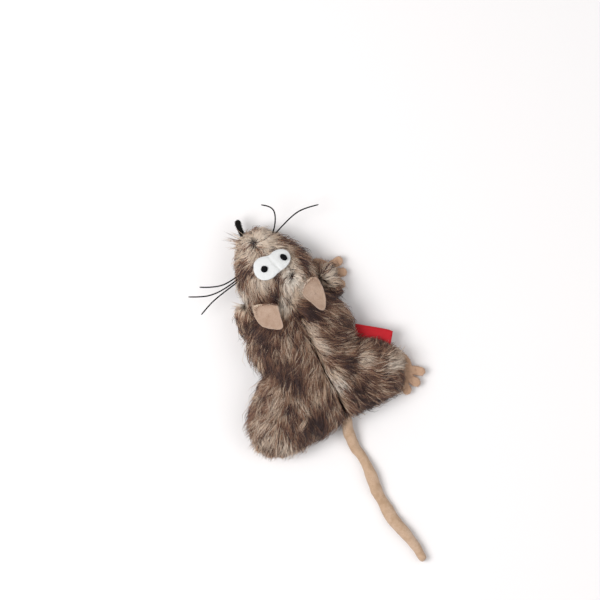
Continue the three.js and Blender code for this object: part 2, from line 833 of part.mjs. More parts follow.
// Tail
function tailPiece() {
  const lying = tailThickness / 2 - floorFlat - tailRootHeight;
  const points = tailShares.map(([along, aside]) => {
    const drop = THREE.MathUtils.smoothstep(along * tailLength, 0, tailRootSlope);
    return new THREE.Vector3(aside * tailLength, -along * tailLength, lying * drop);
  });
  const curve = new THREE.CatmullRomCurve3(points);
  const girthAt = (along) => {
    const place = THREE.MathUtils.clamp(-curve.getPoint(along).y / tailLength, 0, 1);
    const share = sharesAt(tailShares, place)[1];
    return [(tailWidth * share) / 2, tailThickness / 2];
  };
  const tube = tubeAlong(curve, tailFacets, girthAt);
  addPiece(tailGroup, 'tail', cutBy(tube, intoFrameOf(tailGroup, floor)), suede);
}
tailPiece();

// Side label: its two layers lie over each other, and their raw edges end at the leg's front edge
function labelPiece() {
  const leg = rightHindLeg;
  const group = groupAt(
    new THREE.Vector3(-labelAhead, labelReach, labelHeight),
    Math.PI / 2 - degrees(labelTurn),
    leg.group,
  );
  const outer = labelFoldRadius;
  const inner = labelFoldRadius - ribbonThickness;
  const foldAt = labelDepth - outer;
  const shape = new THREE.Shape();
  shape.moveTo(0, -outer);
  shape.lineTo(foldAt, -outer);
  shape.absarc(foldAt, 0, outer, -Math.PI / 2, Math.PI / 2);
  shape.lineTo(0, outer);
  shape.lineTo(0, inner);
  shape.lineTo(foldAt, inner);
  shape.absarc(foldAt, 0, inner, Math.PI / 2, -Math.PI / 2, true);
  shape.lineTo(0, -inner);
  shape.closePath();
  const ribbon = new THREE.ExtrudeGeometry(shape, {
    depth: labelLength,
    bevelEnabled: false,
    curveSegments: arcFacets,
  });
  ribbon.translate(0, 0, -labelLength / 2).rotateX(Math.PI / 2).rotateZ(Math.PI / 2);
  const legRoom = intoFrameOf(group, fromFrameOf(leg.group, resized(leg.form, legFacets, labelClearance)));
  addPiece(group, 'side_label', solidOf(ribbon).subtract(legRoom), redRibbon);
}
labelPiece();

export default mouse;
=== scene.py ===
"""The looks of a plush mouse for cats, which lies on its belly: mottled fur over stuffed limbs, a felt eye
patch, suede ears and tail, felt paws, thread whiskers and a bare side label.

Lengths are metres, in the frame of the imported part: +Z up, +Y to the nose, +X to the mouse's right.
"""

import json
import math

import bpy
import numpy as np
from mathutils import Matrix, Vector
from mathutils.bvhtree import BVHTree
from mathutils.kdtree import KDTree


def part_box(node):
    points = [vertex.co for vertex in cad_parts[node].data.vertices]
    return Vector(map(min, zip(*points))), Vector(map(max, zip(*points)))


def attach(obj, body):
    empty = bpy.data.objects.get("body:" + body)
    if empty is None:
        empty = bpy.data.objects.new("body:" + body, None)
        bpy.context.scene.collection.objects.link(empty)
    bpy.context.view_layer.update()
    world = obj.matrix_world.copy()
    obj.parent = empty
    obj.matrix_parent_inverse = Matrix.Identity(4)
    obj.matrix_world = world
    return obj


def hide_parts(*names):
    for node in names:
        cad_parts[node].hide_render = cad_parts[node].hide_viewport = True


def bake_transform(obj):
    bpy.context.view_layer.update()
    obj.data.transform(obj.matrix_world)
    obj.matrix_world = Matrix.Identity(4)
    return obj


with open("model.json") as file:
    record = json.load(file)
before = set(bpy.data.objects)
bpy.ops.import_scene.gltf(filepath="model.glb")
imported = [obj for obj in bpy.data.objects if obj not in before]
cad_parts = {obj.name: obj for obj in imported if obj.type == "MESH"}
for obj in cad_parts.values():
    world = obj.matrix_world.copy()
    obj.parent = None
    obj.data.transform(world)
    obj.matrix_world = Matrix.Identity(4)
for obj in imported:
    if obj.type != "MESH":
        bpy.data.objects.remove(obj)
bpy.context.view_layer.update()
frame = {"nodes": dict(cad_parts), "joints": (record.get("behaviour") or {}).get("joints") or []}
nodes = frame["nodes"]
joints = {joint["name"]: joint for joint in frame["joints"]}
mm = 0.001

# The photograph
PIXEL = 0.411 * mm  # width of one pixel at the mouse
PHOTO_SIZE = 600
ORIGIN_PX = (307, 338)  # where the mouse's origin is seen
LIE = math.radians(26)  # how far the nose points to the left of the picture's upright
CAMERA_HEIGHT = 1.5
SENSOR_WIDTH = 36  # mm, of which Blender counts the lens too
SEEN_FROM, SEEN_TO = 0.01, 20  # metres from the camera

# Fur
PILE_LENGTH = 8.8 * mm
PILE_HEIGHT = 3.3 * mm  # how far the combed pile stands above the skin
PILE_STIFFNESS = (0.1, 0.28, 0.6)  # how far each stretch runs straight on, rather than along the skin
PILE_DENSITY = 15.0 / mm ** 2
UNDERSIDE_SHARE, UNDERSIDE_HEIGHT = 0.3, 5.5 * mm  # of that density, below this height
BARE_SEAM = 0.45 * mm  # to either side of the seam down the back
GUARD_SHARE = 0.18  # of the hairs, which are longer, thinner and stand off
HAIR_WIDTH = 0.22 * mm
HAIR_WIDTHS = (0.7, 1.2)  # shares of it, from hair to hair
HAIR_STRETCHES = 3
HAIR_RISE = (0.55, 0.9, 1.0)  # shares of its height that a hair has at the end of each stretch
HAIR_LIMIT = 12300  # hairs in one piece
BACK_MIDDLE, FACE_START = -8 * mm, 36 * mm  # where the piles of the back and of the head are divided
PILE_SEED, PAW_SEED, NOSE_SEED = 20, 40, 61
TUFT_HAIRS = 7
TUFT_PULL = (0, 0.12, 0.36, 0.56)  # how far each level of a hair is drawn to its tuft's leader
FLOOR_CLEARANCE = 0.2 * mm
EAR_OVERLAP = 0.9 * mm  # of the head's hair over the ears' sewn edges
SPINE_GROOVE = 1.7 * mm
GROOVE_WIDTH = 2.0 * mm
GROOVE_ENDS = (21 * mm, 5 * mm)  # where it ends behind the head, and over which length
SEAM_SPACE = 5 * mm  # how far a limb's skin reaches into the torso
SEAM_BEYOND = 1.4  # by how much further out a bend's end is set on the limb's side
SLEEVE_INSET = 0.5 * mm

# Where a paw is sewn into its leg's end: place in mm, radius and how far the skin is drawn in
paw_seams = (((30.5, -28), 5, 3.4), ((-30, -37), 4, 0.6), ((22, 17), 5, 1.8), ((-22.5, 23.5), 4.5, 2.2))

SKIN_VOXEL = 0.9 * mm
SKIN_ROUNDS = 6
SKIN_SWELL = 0.35 * mm


# Selecting and finishing, as by hand

def select_only(*pieces):
    bpy.ops.object.select_all(action="DESELECT")
    for piece in pieces:
        piece.select_set(True)
    bpy.context.view_layer.objects.active = pieces[0]


def apply_modifier(piece, kind, **settings):
    select_only(piece)
    modifier = piece.modifiers.new(kind.title(), kind)
    for name, value in settings.items():
        setattr(modifier, name, value)
    bpy.ops.object.modifier_apply(modifier=modifier.name)


def smooth_shaded(piece):
    select_only(piece)
    bpy.ops.object.shade_smooth()
    return piece


def new_piece(name, mesh):
    piece = bpy.data.objects.new(name, mesh)
    bpy.context.scene.collection.objects.link(piece)
    return piece


def joined(name, *pieces):
    select_only(*pieces)
    if len(pieces) > 1:
        bpy.ops.object.join()
    piece = bpy.context.view_layer.objects.active
    piece.name = name
    piece.data.name = name
    return piece


def cleaned(piece, within):
    """Merges points that lie closer than this, and turns every face outward."""
    select_only(piece)
    bpy.ops.object.mode_set(mode="EDIT")
    bpy.ops.mesh.select_all(action="SELECT")
    bpy.ops.mesh.remove_doubles(threshold=within)
    bpy.ops.mesh.normals_make_consistent(inside=False)
    bpy.ops.object.mode_set(mode="OBJECT")
    return piece


def copy_of(name, *sources):
    """One new piece with merged copies of these nodes' solids."""
    copies = [new_piece(f"{name}_{i}", nodes[source].data.copy()) for i, source in enumerate(sources)]
    piece = joined(name, *copies)
    piece.data.materials.clear()
    return cleaned(piece, within=0.002 * mm)


def cut_away(piece, place, direction):
    """Removes what lies on the far side of a plane, and closes the cut."""
    select_only(piece)
    bpy.ops.object.mode_set(mode="EDIT")
    bpy.ops.mesh.select_all(action="SELECT")
    bpy.ops.mesh.bisect(plane_co=place, plane_no=direction, use_fill=True, clear_outer=True)
    bpy.ops.object.mode_set(mode="OBJECT")


def fused(piece, voxel, rounds, swell=0.0):
    """Fuses what a piece is made of into one soft, closed form."""
    apply_modifier(piece, "REMESH", mode="VOXEL", voxel_size=voxel)
    apply_modifier(piece, "SMOOTH", factor=0.5, iterations=rounds)
    if swell:
        apply_modifier(piece, "DISPLACE", strength=swell, mid_level=0, direction="NORMAL")
    return smooth_shaded(piece)


def wrinkled(piece, size, depth):
    """Uneven, as handled cloth is."""
    cloud = bpy.data.textures.new(f"{piece.name}_unevenness", "CLOUDS")
    cloud.noise_scale = size
    cloud.noise_depth = 2
    apply_modifier(
        piece, "DISPLACE", strength=depth, mid_level=0.5, direction="NORMAL", texture=cloud, texture_coords="LOCAL"
    )
    return piece


def rows_of(items, name, kind=float):
    """One value of each of these items, in rows of three numbers."""
    values = np.empty(len(items) * 3, dtype=kind)
    items.foreach_get(name, values)
    return values.reshape(-1, 3)


def points_of(piece):
    return rows_of(piece.data.vertices, "co")


def normals_of(piece):
    return rows_of(piece.data.vertices, "normal")


def triangles_of(piece):
    piece.data.calc_loop_triangles()
    return rows_of(piece.data.loop_triangles, "vertices", np.int32)


def move_points(piece, points):
    piece.data.vertices.foreach_set("co", points.reshape(-1))
    piece.data.update()


def marked(mesh, name, values, kind="FLOAT"):
    """Gives each point of a mesh a value, or a vector, that its finish reads."""
    field = "vector" if kind == "FLOAT_VECTOR" else "value"
    mesh.attributes.new(name, kind, "POINT").data.foreach_set(field, values.reshape(-1).astype(np.float32))


def tree_of(*pieces):
    """What finds the nearest spot on these pieces, or the first one along a ray."""
    points, faces = [], []
    for piece in pieces:
        faces += [tuple(face) for face in (triangles_of(piece) + len(points)).tolist()]
        points += points_of(piece).tolist()
    return BVHTree.FromPolygons(points, faces)


# Vectors in rows

def unit(vectors):
    return vectors / np.maximum(np.linalg.norm(vectors, axis=-1, keepdims=True), 1e-12)


def across(values):
    return values[..., None]


def dot(first, second):
    return (first * second).sum(axis=-1, keepdims=True)


def turned_about(vectors, axes, angles):
    cosine, sine = across(np.cos(angles)), across(np.sin(angles))
    return vectors * cosine + np.cross(axes, vectors) * sine


def reach_of(places, spot, radius):
    """1 at a spot, seen from above, and fading to 0 around it."""
    return np.exp(-(np.linalg.norm(places[:, :2] / mm - spot, axis=1) / radius) ** 2)


def snapped(tree, points):
    """The nearest spots of a surface, and which way it faces there."""
    found = [tree.find_nearest(point)[:2] for point in points.tolist()]
    return np.array([spot for spot, _ in found]), np.array([normal for _, normal in found])


def ray_heights(tree, points, down):
    """The height at which a line straight down, or up, from each point meets a piece; NaN where it doesn't."""
    way = (0, 0, -1 if down else 1)
    hits = [tree.ray_cast(point, way)[0] for point in points.tolist()]
    return np.array([hit.z if hit else math.nan for hit in hits])


# Shader maths

class Value:
    """A shader socket that reads like a number: an expression adds its Math nodes."""

    def __init__(self, finish, socket):
        self.finish = finish
        self.socket = socket

    def maths(self, operation, *numbers):
        return self.finish.node("ShaderNodeMath", {"operation": operation}, dict(enumerate(numbers)))

    def __add__(self, other):
        return self.maths("ADD", self, other)

    def __radd__(self, other):
        return self.maths("ADD", other, self)

    def __sub__(self, other):
        return self.maths("SUBTRACT", self, other)

    def __rsub__(self, other):
        return self.maths("SUBTRACT", other, self)

    def __mul__(self, other):
        return self.maths("MULTIPLY", self, other)

    def clamped(self):
        return self.maths("MAXIMUM", self.maths("MINIMUM", self, 1.0), 0.0)

    def between(self, low, high):
        """0 below low and 1 above high, with soft ends."""
        return self.finish.node(
            "ShaderNodeMapRange",
            {"interpolation_type": "SMOOTHSTEP"},
            {"Value": self, "From Min": low, "From Max": high},
        )


class Nodes:
    """Makes and links the nodes of one shader."""

    def __init__(self, tree):
        self.tree = tree

    def node(self, kind, settings=None, inputs=None, output=0):
        made = self.tree.nodes.new(kind)
        for name, value in (settings or {}).items():
            setattr(made, name, value)
        for name, value in (inputs or {}).items():
            if isinstance(value, Value):
                self.tree.links.new(value.socket, made.inputs[name])
            else:
                made.inputs[name].default_value = value
        return Value(self, made.outputs[output])

    def seen(self):
        """1 for what is looked at, also in a mirror or through glass, and 0 for what only lights the scene."""
        camera, glossy, through = (
            self.node("ShaderNodeLightPath", output=f"Is {kind} Ray") for kind in ("Camera", "Glossy", "Transmission")
        )
        return (camera + glossy + through).clamped()

    def shown_as(self, factor, first, second, output):
        """Mixes two shaders by a factor, and shows the result."""
        mixed = self.node("ShaderNodeMixShader", {}, {0: factor, 1: first, 2: second})
        self.tree.links.new(mixed.socket, output.inputs["Surface"])


class Finish(Nodes):
    """One material: a Principled shader, and the nodes that feed it."""

    def __init__(self, name, roughness, **shader):
        self.material = bpy.data.materials.new(name)
        self.material.use_nodes = True
        super().__init__(self.material.node_tree)
        self.shader = self.tree.nodes["Principled BSDF"]
        self.shader.inputs["Roughness"].default_value = roughness
        for socket, value in shader.items():
            self.shader.inputs[socket.replace("_", " ")].default_value = value

    def place(self):
        return self.node("ShaderNodeTexCoord", output="Object")

    def attribute(self, name, output="Fac"):
        return self.node("ShaderNodeAttribute", {"attribute_name": name}, output=output)

    def noise(self, vector, size, detail=3.0, roughness=0.55):
        return self.node(
            "ShaderNodeTexNoise",
            {"noise_dimensions": "3D"},
            {"Vector": vector, "Scale": 1 / size, "Detail": detail, "Roughness": roughness},
        )

    def mix(self, factor, first, second):
        colours = [colour if isinstance(colour, Value) else (*colour, 1) for colour in (first, second)]
        return self.node(
            "ShaderNodeMix",
            {"data_type": "RGBA"},
            {0: factor, 6: colours[0], 7: colours[1]},
            output=2,
        )

    def feed(self, socket, value):
        self.tree.links.new(value.socket, self.shader.inputs[socket])

    def raise_by(self, height, distance):
        self.feed("Normal", self.node("ShaderNodeBump", {}, {"Height": height, "Distance": distance}))


# Colours, as linear values
CREAM = (0.71, 0.54, 0.39)
PALE_GREY = (0.92, 0.85, 0.77)
TAN_BROWN = (0.4, 0.22, 0.134)
MID_BROWN = (0.2, 0.094, 0.061)
DARK_BROWN = (0.048, 0.0205, 0.0175)
# the backing's own brown, which the fur also takes as painted shade near each hair's root
BACKING_AND_ROOT_SHADE_BROWN = (0.075, 0.045, 0.033)
SUEDE_TAN = (0.5, 0.345, 0.235)
EAR_TAN = (0.39, 0.273, 0.203)
PAW_TAN = (0.58, 0.38, 0.26)
PATCH_WHITE = (0.73, 0.735, 0.73)
RIBBON_RED = (0.47, 0.006, 0.014)
RIBBON_WORN = (0.33, 0.004, 0.009)
PAPER = (0.83, 0.81, 0.81)

# Mottling of the fur, by the depth of its colour: 0 is pale, 1 is dark
PATCH_SIZE, PATCH_WEIGHT = 6.5 * mm, 1.8
FLECK_SIZE, FLECK_WEIGHT = 2.4 * mm, 1.0
HAIR_WEIGHT = 0.9  # of each hair's own tint
DARK_HAIRS, DARK_HAIR_WEIGHT = 0.66, 3.2  # from this tint on, hairs are darker still
TIP_WEIGHT = 0.75
DEPTH_RANGE = (-0.15, 1.1)
TURNS_TAN, TURNS_BROWN, TURNS_DARK = (0.0, 0.38), (0.3, 0.66), (0.58, 0.95)  # shares of that range


def fur_finish():
    """Hair that is cream below and dark at its tips, in patches that each hair takes whole from its root, with painted
    shade darkening it near the root.
    """
    fur = Finish("mottled_fur", 0.6, Specular_IOR_Level=0.22, Sheen_Weight=0.08, Sheen_Roughness=0.5)
    root = fur.attribute("root", "Vector")
    along, tint, dye = (fur.attribute(name) for name in ("along", "tint", "dye"))
    patches = (fur.noise(root, PATCH_SIZE, 2) - 0.5) * PATCH_WEIGHT
    flecks = (fur.noise(root, FLECK_SIZE, 1) - 0.5) * FLECK_WEIGHT
    own = (tint - 0.5) * HAIR_WEIGHT + ((tint - DARK_HAIRS) * DARK_HAIR_WEIGHT).clamped()
    depth = (along * TIP_WEIGHT + patches + flecks + dye + own).between(*DEPTH_RANGE)
    greyer = (tint * 0.4 - dye * 0.5).clamped()
    base = fur.mix(greyer, CREAM, PALE_GREY)
    lower = fur.mix(depth.between(*TURNS_TAN), base, TAN_BROWN)
    middle = fur.mix(depth.between(*TURNS_BROWN), lower, MID_BROWN)
    colour = fur.mix(depth.between(*TURNS_DARK), middle, DARK_BROWN)
    # painted shade: each hair darkens towards the backing's brown near its root, less where the fur is paler
    root_shade = (0.75 - along * 3.0 + dye * 0.3).clamped()
    fur.feed("Base Color", fur.mix(root_shade, colour, BACKING_AND_ROOT_SHADE_BROWN))
    return fur.material


def backing_finish():
    """The knitted cloth that the pile stands on."""
    backing = Finish("fur_backing", 0.95, Specular_IOR_Level=0.1)
    place = backing.place()
    knit = backing.noise(place, 0.5 * mm, 2)
    backing.feed("Base Color", backing.mix(knit, DARK_BROWN, BACKING_AND_ROOT_SHADE_BROWN))
    backing.raise_by(knit, 0.2 * mm)
    return backing.material


def suede_finish(name, colour, darker, paler):
    """Brushed hide: blotched where the nap lies differently, and paler in patches and towards a rim."""
    suede = Finish(name, 0.9, Specular_IOR_Level=0.15, Sheen_Weight=0.2, Sheen_Roughness=0.6)
    place = suede.place()
    blotches = suede.noise(place, 2.6 * mm, 4)
    patches = suede.noise(place, 6.0 * mm, 2)
    fibres = suede.noise(place, 0.36 * mm, 3)
    brushed = suede.mix(blotches.between(0.38, 0.68) * 0.6, colour, darker)
    # the colour turns paler in random patches, and towards an ear's rim by the mark made there
    paled = suede.mix((patches.between(0.45, 0.7) * 0.45 + suede.attribute("paled") * 0.7).clamped(), brushed, paler)
    suede.feed("Base Color", suede.mix(fibres.between(0.42, 0.75) * 0.6, paled, darker))
    suede.feed("Roughness", 0.82 + blotches * 0.16)
    suede.raise_by(fibres * 0.7 + blotches * 0.6, 0.16 * mm)
    return suede.material


def felt_finish(name, colour, shade):
    felt = Finish(name, 0.95, Specular_IOR_Level=0.1, Sheen_Weight=0.06, Sheen_Roughness=0.7)
    place = felt.place()
    fibres = felt.noise(place, 0.22 * mm, 5, 0.7)
    clouds = felt.noise(place, 1.6 * mm, 3)
    felt.feed("Base Color", felt.mix((fibres * 0.6 + clouds * 0.5 - 0.2).clamped() * 0.7, colour, shade))
    felt.raise_by(fibres + clouds * 0.5, 0.2 * mm)
    return felt.material


def thread_finish(name, colour, roughness):
    thread = Finish(name, roughness, Specular_IOR_Level=0.03)
    strands = thread.noise(thread.place(), 0.35 * mm, 2)
    thread.feed("Base Color", thread.mix(strands * 0.6, colour, tuple(3.0 * part for part in colour)))
    thread.feed("Roughness", roughness + strands * 0.15)
    thread.raise_by(strands, 0.06 * mm)
    return thread.material


def ribbon_finish():
    """Satin weave: fine ribs across the label, darker where it shows wear."""
    ribbon = Finish("red_ribbon", 0.6, Specular_IOR_Level=0.2)
    weave = ribbon.attribute("weave", "Vector")
    ribs = ribbon.node(
        "ShaderNodeTexWave",
        {"wave_type": "BANDS", "bands_direction": "X"},
        {"Vector": weave, "Scale": 0.25 / (0.32 * mm), "Distortion": 0.3, "Detail": 1.0},
    )
    wear = ribbon.noise(weave, 2.5 * mm, 3)
    ribbon.feed("Base Color", ribbon.mix((ribs * 0.35 + wear * 0.25).clamped(), RIBBON_RED, RIBBON_WORN))
    ribbon.raise_by(ribs, 0.05 * mm)
    return ribbon.material


fur_material = fur_finish()
backing_material = backing_finish()
tail_material = suede_finish("tail_suede", SUEDE_TAN, darker=(0.35, 0.22, 0.13), paler=(0.6, 0.445, 0.34))
ear_material = suede_finish("ear_suede", EAR_TAN, darker=(0.3, 0.188, 0.128), paler=(0.47, 0.345, 0.27))
paw_material = felt_finish("paw_felt", PAW_TAN, shade=(0.43, 0.26, 0.16))
patch_material = felt_finish("patch_felt", PATCH_WHITE, shade=(0.58, 0.585, 0.58))
pupil_material = thread_finish("pupil_black", (0.003, 0.003, 0.0035), roughness=0.5)
yarn_material = thread_finish("black_yarn", (0.009, 0.008, 0.0075), roughness=0.95)
thread_material = thread_finish("black_thread", (0.004, 0.0035, 0.004), roughness=0.6)
grey_thread_material = thread_finish("grey_thread", (0.03, 0.028, 0.03), roughness=0.7)
ribbon_material = ribbon_finish()


def dressed(piece, material):
    piece.data.materials.clear()
    piece.data.materials.append(material)
    return piece


# Camera

def set_camera():
    """Straight above the mouse, as the photograph was taken."""
    right = PHOTO_SIZE / 2 - ORIGIN_PX[0]
    down = PHOTO_SIZE / 2 - ORIGIN_PX[1]
    x = PIXEL * (right * math.cos(LIE) - down * math.sin(LIE))
    y = PIXEL * (-right * math.sin(LIE) - down * math.cos(LIE))
    bpy.ops.object.camera_add(location=(x, y, CAMERA_HEIGHT), rotation=(0, 0, -LIE))
    seen = bpy.context.active_object
    seen.name = "camera"
    seen.data.sensor_width = SENSOR_WIDTH
    seen.data.lens = SENSOR_WIDTH * CAMERA_HEIGHT / (PHOTO_SIZE * PIXEL)
    seen.data.clip_start, seen.data.clip_end = SEEN_FROM, SEEN_TO
    bpy.context.scene.camera = seen


set_camera()


# Limbs: their stuffing, and the seams where they meet the torso

def limb_of(body, joint_name, stuffing, out):
    place = Vector(joints[joint_name]["pos_m"])
    low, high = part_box(stuffing)
    if ((low + high) / 2 - place).dot(out) < 0:
        out = -out
    return {"stuffing": stuffing, "place": place, "out": out.normalized()}


up = Vector((0, 0, 1))
limbs = {"head": limb_of("head", "head_nod", "head_stuffing", Vector(joints["head_nod"]["axis"]).cross(up))}
for end in ("hind", "front"):
    for side in ("right", "left"):
        body = f"leg_{end}_{side}"
        out = up.cross(Vector(joints[f"{body}_lift"]["axis"]))
        limbs[body] = limb_of(body, f"{body}_lift", f"{end}_leg_stuffing_{side}", out)
owners = ["torso", *limbs]
stuffings = ["body_stuffing"] + [limb["stuffing"] for limb in limbs.values()]
spine = (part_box("back_panel_right")[0].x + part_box("back_panel_left")[1].x) / 2
flank_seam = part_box("back_panel_right")[0].z
chin_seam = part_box("chin_panel")[1].z


def bend_with(piece, body):
    """Bakes a limb's piece where it lies; the ends of a bend across its seam with the torso are found but not used."""
    limb = limbs[body]
    start = limb["place"] - limb["out"] * SEAM_SPACE
    end = limb["place"] + limb["out"] * SEAM_SPACE * SEAM_BEYOND
    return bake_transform(piece)


def faded(values, start, length):
    """1 below start - length and 0 above start."""
    return np.clip((start - values) / length, 0, 1)


def grooved(piece):
    """Draws the skin in along the seam down the back."""
    points, normals = points_of(piece), normals_of(piece)
    groove = np.exp(-(((points[:, 0] - spine) / GROOVE_WIDTH) ** 2)) * faded(points[:, 1], *GROOVE_ENDS)
    points[:, 2] -= SPINE_GROOVE * groove * np.clip(normals[:, 2] * 2 - 0.2, 0, 1)
    move_points(piece, points)
    return piece


def drawn_in(piece):
    """Narrows the skin to where a paw is sewn into it."""
    points, normals = points_of(piece), normals_of(piece)
    for spot, radius, depth in paw_seams:
        points -= normals * across(depth * mm * reach_of(points, spot, radius))
    move_points(piece, points)
    return piece


def torso_skin():
    skin = copy_of("torso_skin", "body_stuffing", "catnip_pouch")
    return grooved(fused(skin, SKIN_VOXEL, SKIN_ROUNDS, SKIN_SWELL))


def skin_of(body):
    """The sewn skin of one limb, with a sleeve of it inside the torso's."""
    limb = limbs[body]
    sleeve = copy_of(f"{body}_sleeve", "body_stuffing", "catnip_pouch")
    apply_modifier(sleeve, "REMESH", mode="VOXEL", voxel_size=SKIN_VOXEL)
    cut_away(sleeve, limb["place"] - limb["out"] * SEAM_SPACE, -limb["out"])
    low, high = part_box(limb["stuffing"])
    if "hind" in body:
        cut_away(sleeve, (0, high.y, 0), (0, 1, 0))
    if "front" in body:
        cut_away(sleeve, (0, low.y, 0), (0, -1, 0))
        cut_away(sleeve, (0, high.y, 0), (0, 1, 0))
    apply_modifier(sleeve, "DISPLACE", strength=-SLEEVE_INSET, mid_level=0, direction="NORMAL")
    skin = joined(f"{body}_skin", copy_of(f"{body}_form", limb["stuffing"]), sleeve)
    return drawn_in(fused(skin, SKIN_VOXEL, SKIN_ROUNDS, SKIN_SWELL))


# Ears, eye patch and pupils: flat pieces cut to an outline, rounded at the rim

# Outlines in mm, seen from above
outlines = {
    "ear_left": (
        (-14.0, 21.2), (-11.0, 21.0), (-7.6, 19.6), (-5.0, 18.2), (-4.9, 16.2), (-5.5, 13.2), (-6.0, 10.6),
        (-6.5, 8.5), (-8.2, 8.0), (-10.4, 9.1), (-12.6, 10.7), (-14.6, 12.9), (-15.3, 15.8), (-15.0, 18.8),
    ),
    "ear_right": (
        (6.3, 17.6), (8.0, 19.6), (10.0, 21.0), (12.0, 21.8), (13.7, 21.3), (14.8, 19.8), (14.9, 16.6), (14.6, 13.6),
        (13.9, 10.9), (12.6, 8.3), (11.0, 7.2), (9.6, 8.4), (8.4, 10.9), (7.3, 13.2), (6.4, 15.4),
    ),
    "eye_patch": (
        (-7.3, 34.8), (-6.0, 37.0), (-3.8, 38.0), (-1.4, 37.7), (0.9, 37.2), (3.0, 37.8), (5.4, 37.7), (7.5, 36.7),
        (8.7, 34.9), (8.6, 32.7), (7.3, 30.9), (5.2, 29.8), (2.9, 29.3), (0.8, 28.9), (-0.8, 28.3), (-2.9, 28.1),
        (-5.1, 28.6), (-6.9, 30.0), (-7.7, 32.3),
    ),
    "pupil_left": (
        (-1.8, 32.9), (-2.3, 33.9), (-3.4, 34.3), (-4.4, 33.7), (-4.7, 32.7), (-4.2, 31.8), (-3.2, 31.5), (-2.2, 32.0),
    ),
    "pupil_right": (
        (7.2, 33.2), (6.9, 34.4), (5.9, 35.3), (5.0, 35.2), (4.6, 34.3), (4.9, 33.1), (5.8, 32.3), (6.8, 32.4),
    ),
}
CURVE_STEPS = 12  # between two points of an outline
RIM_POINTS = 64
RING_SHARES = (0.04, 0.05, 0.06, 0.08, 0.12, 0.2, 0.3, 0.4, 0.5, 0.6)  # by which each ring is smaller than the last

EAR_THICKNESS = 1.2 * mm
EAR_ROUNDING = 0.5 * mm
EAR_SEAM = 0.9 * mm  # of the stitched line from the rim
EAR_SEAM_DEPTH, EAR_SEAM_WIDTH = 0.07 * mm, 0.3 * mm
EAR_CUP = 0.012 / mm  # rise by the square of the distance from its middle
EAR_SINK = 0.25 * mm
EAR_WAVE, EAR_WAVE_SPANS = 0.2 * mm, (1.9 * mm, 3.1 * mm)
EAR_PALER_RIM = 0.35 * mm  # width over which it is paler towards its rim

PATCH_THICKNESS = 1.3 * mm
PATCH_ROUNDING = 1.6 * mm
CREASE_PLACE, CREASE_ACROSS = (1.3 * mm, 33.4 * mm), (0.96, 0.28)
CREASE_DEPTH, CREASE_WIDTH = 0.3 * mm, 0.7 * mm

PUPIL_THICKNESS = 0.8 * mm
PUPIL_ROUNDING = 0.8 * mm


def rounded_outline(outline):
    """Points at even steps along a smooth closed curve through an outline."""
    ends = np.array(outline, float)
    t = np.linspace(0, 1, CURVE_STEPS, endpoint=False)[:, None]
    before, behind, ahead, beyond = (np.roll(ends, k, axis=0)[:, None] for k in (1, 0, -1, -2))
    curve = 0.5 * (
        2 * behind
        + (ahead - before) * t
        + (2 * before - 5 * behind + 4 * ahead - beyond) * t ** 2
        + (3 * behind - before - 3 * ahead + beyond) * t ** 3
    ).reshape(-1, 2)
    closed = np.concatenate([curve, curve[:1]])
    run = np.concatenate([[0], np.cumsum(np.linalg.norm(np.diff(closed, axis=0), axis=1))])
    even = np.linspace(0, run[-1], RIM_POINTS, endpoint=False)
    return np.stack([np.interp(even, run, closed[:, 0]), np.interp(even, run, closed[:, 1])], axis=1) * mm


def ringed(piece, upward, middle):
    """Steps a disc's upper or lower face inwards, ring by ring, to a pole."""
    bpy.ops.object.mode_set(mode="OBJECT")
    for face in piece.data.polygons:
        face.select = len(face.vertices) == RIM_POINTS and (face.normal.z > 0) == upward
    bpy.ops.object.mode_set(mode="EDIT")
    for share in RING_SHARES:
        bpy.ops.mesh.extrude_region_move()
        bpy.ops.transform.resize(value=(1 - share, 1 - share, 1), center_override=(*middle, 0))
    bpy.ops.mesh.poke()


def sides_of(places, curved):
    x, y = places[:, 0], places[:, 1]
    powers = [np.ones(len(x)), x, y] + ([x * x, x * y, y * y] if curved else [])
    return np.stack(powers, axis=1)


def surface_through(solids, curved=False):
    """The height, at any place, of the smooth surface that fits these nodes best."""
    points = np.concatenate([points_of(nodes[name]) for name in solids])
    terms = np.linalg.lstsq(sides_of(points, curved), points[:, 2], rcond=None)[0]
    return lambda places: sides_of(places, curved) @ terms


def cut_out(name, outline, surface, thickness, rounding):
    """A piece cut to an outline, on a surface, its rim rounded; its points, how far in they lie and which way up."""
    rim = rounded_outline(outlines[outline])
    bpy.ops.object.select_all(action="DESELECT")
    bpy.ops.mesh.primitive_circle_add(vertices=RIM_POINTS, radius=5 * mm, fill_type="NGON")
    piece = bpy.context.active_object
    piece.name = piece.data.name = name
    move_points(piece, np.concatenate([rim, np.zeros((RIM_POINTS, 1))], axis=1))
    bpy.ops.object.mode_set(mode="EDIT")
    bpy.ops.mesh.select_mode(type="FACE")
    upward = piece.data.polygons[0].normal.z > 0
    ringed(piece, upward, rim.mean(axis=0))
    ringed(piece, not upward, rim.mean(axis=0))
    bpy.ops.mesh.select_all(action="SELECT")
    bpy.ops.mesh.normals_make_consistent(inside=False)
    bpy.ops.object.mode_set(mode="OBJECT")
    apply_modifier(piece, "SUBSURF", levels=1, render_levels=1)
    points = points_of(piece)
    facing = np.sign(np.round(normals_of(piece)[:, 2], 2))
    inwards = np.linalg.norm(points[:, None, :2] - rim[None], axis=2).min(axis=1)
    swell = np.sqrt(1 - (1 - np.clip(inwards / rounding, 0, 1)) ** 2)
    points[:, 2] = surface(points) + facing * swell * thickness / 2
    move_points(piece, points)
    return smooth_shaded(piece), points, inwards, facing


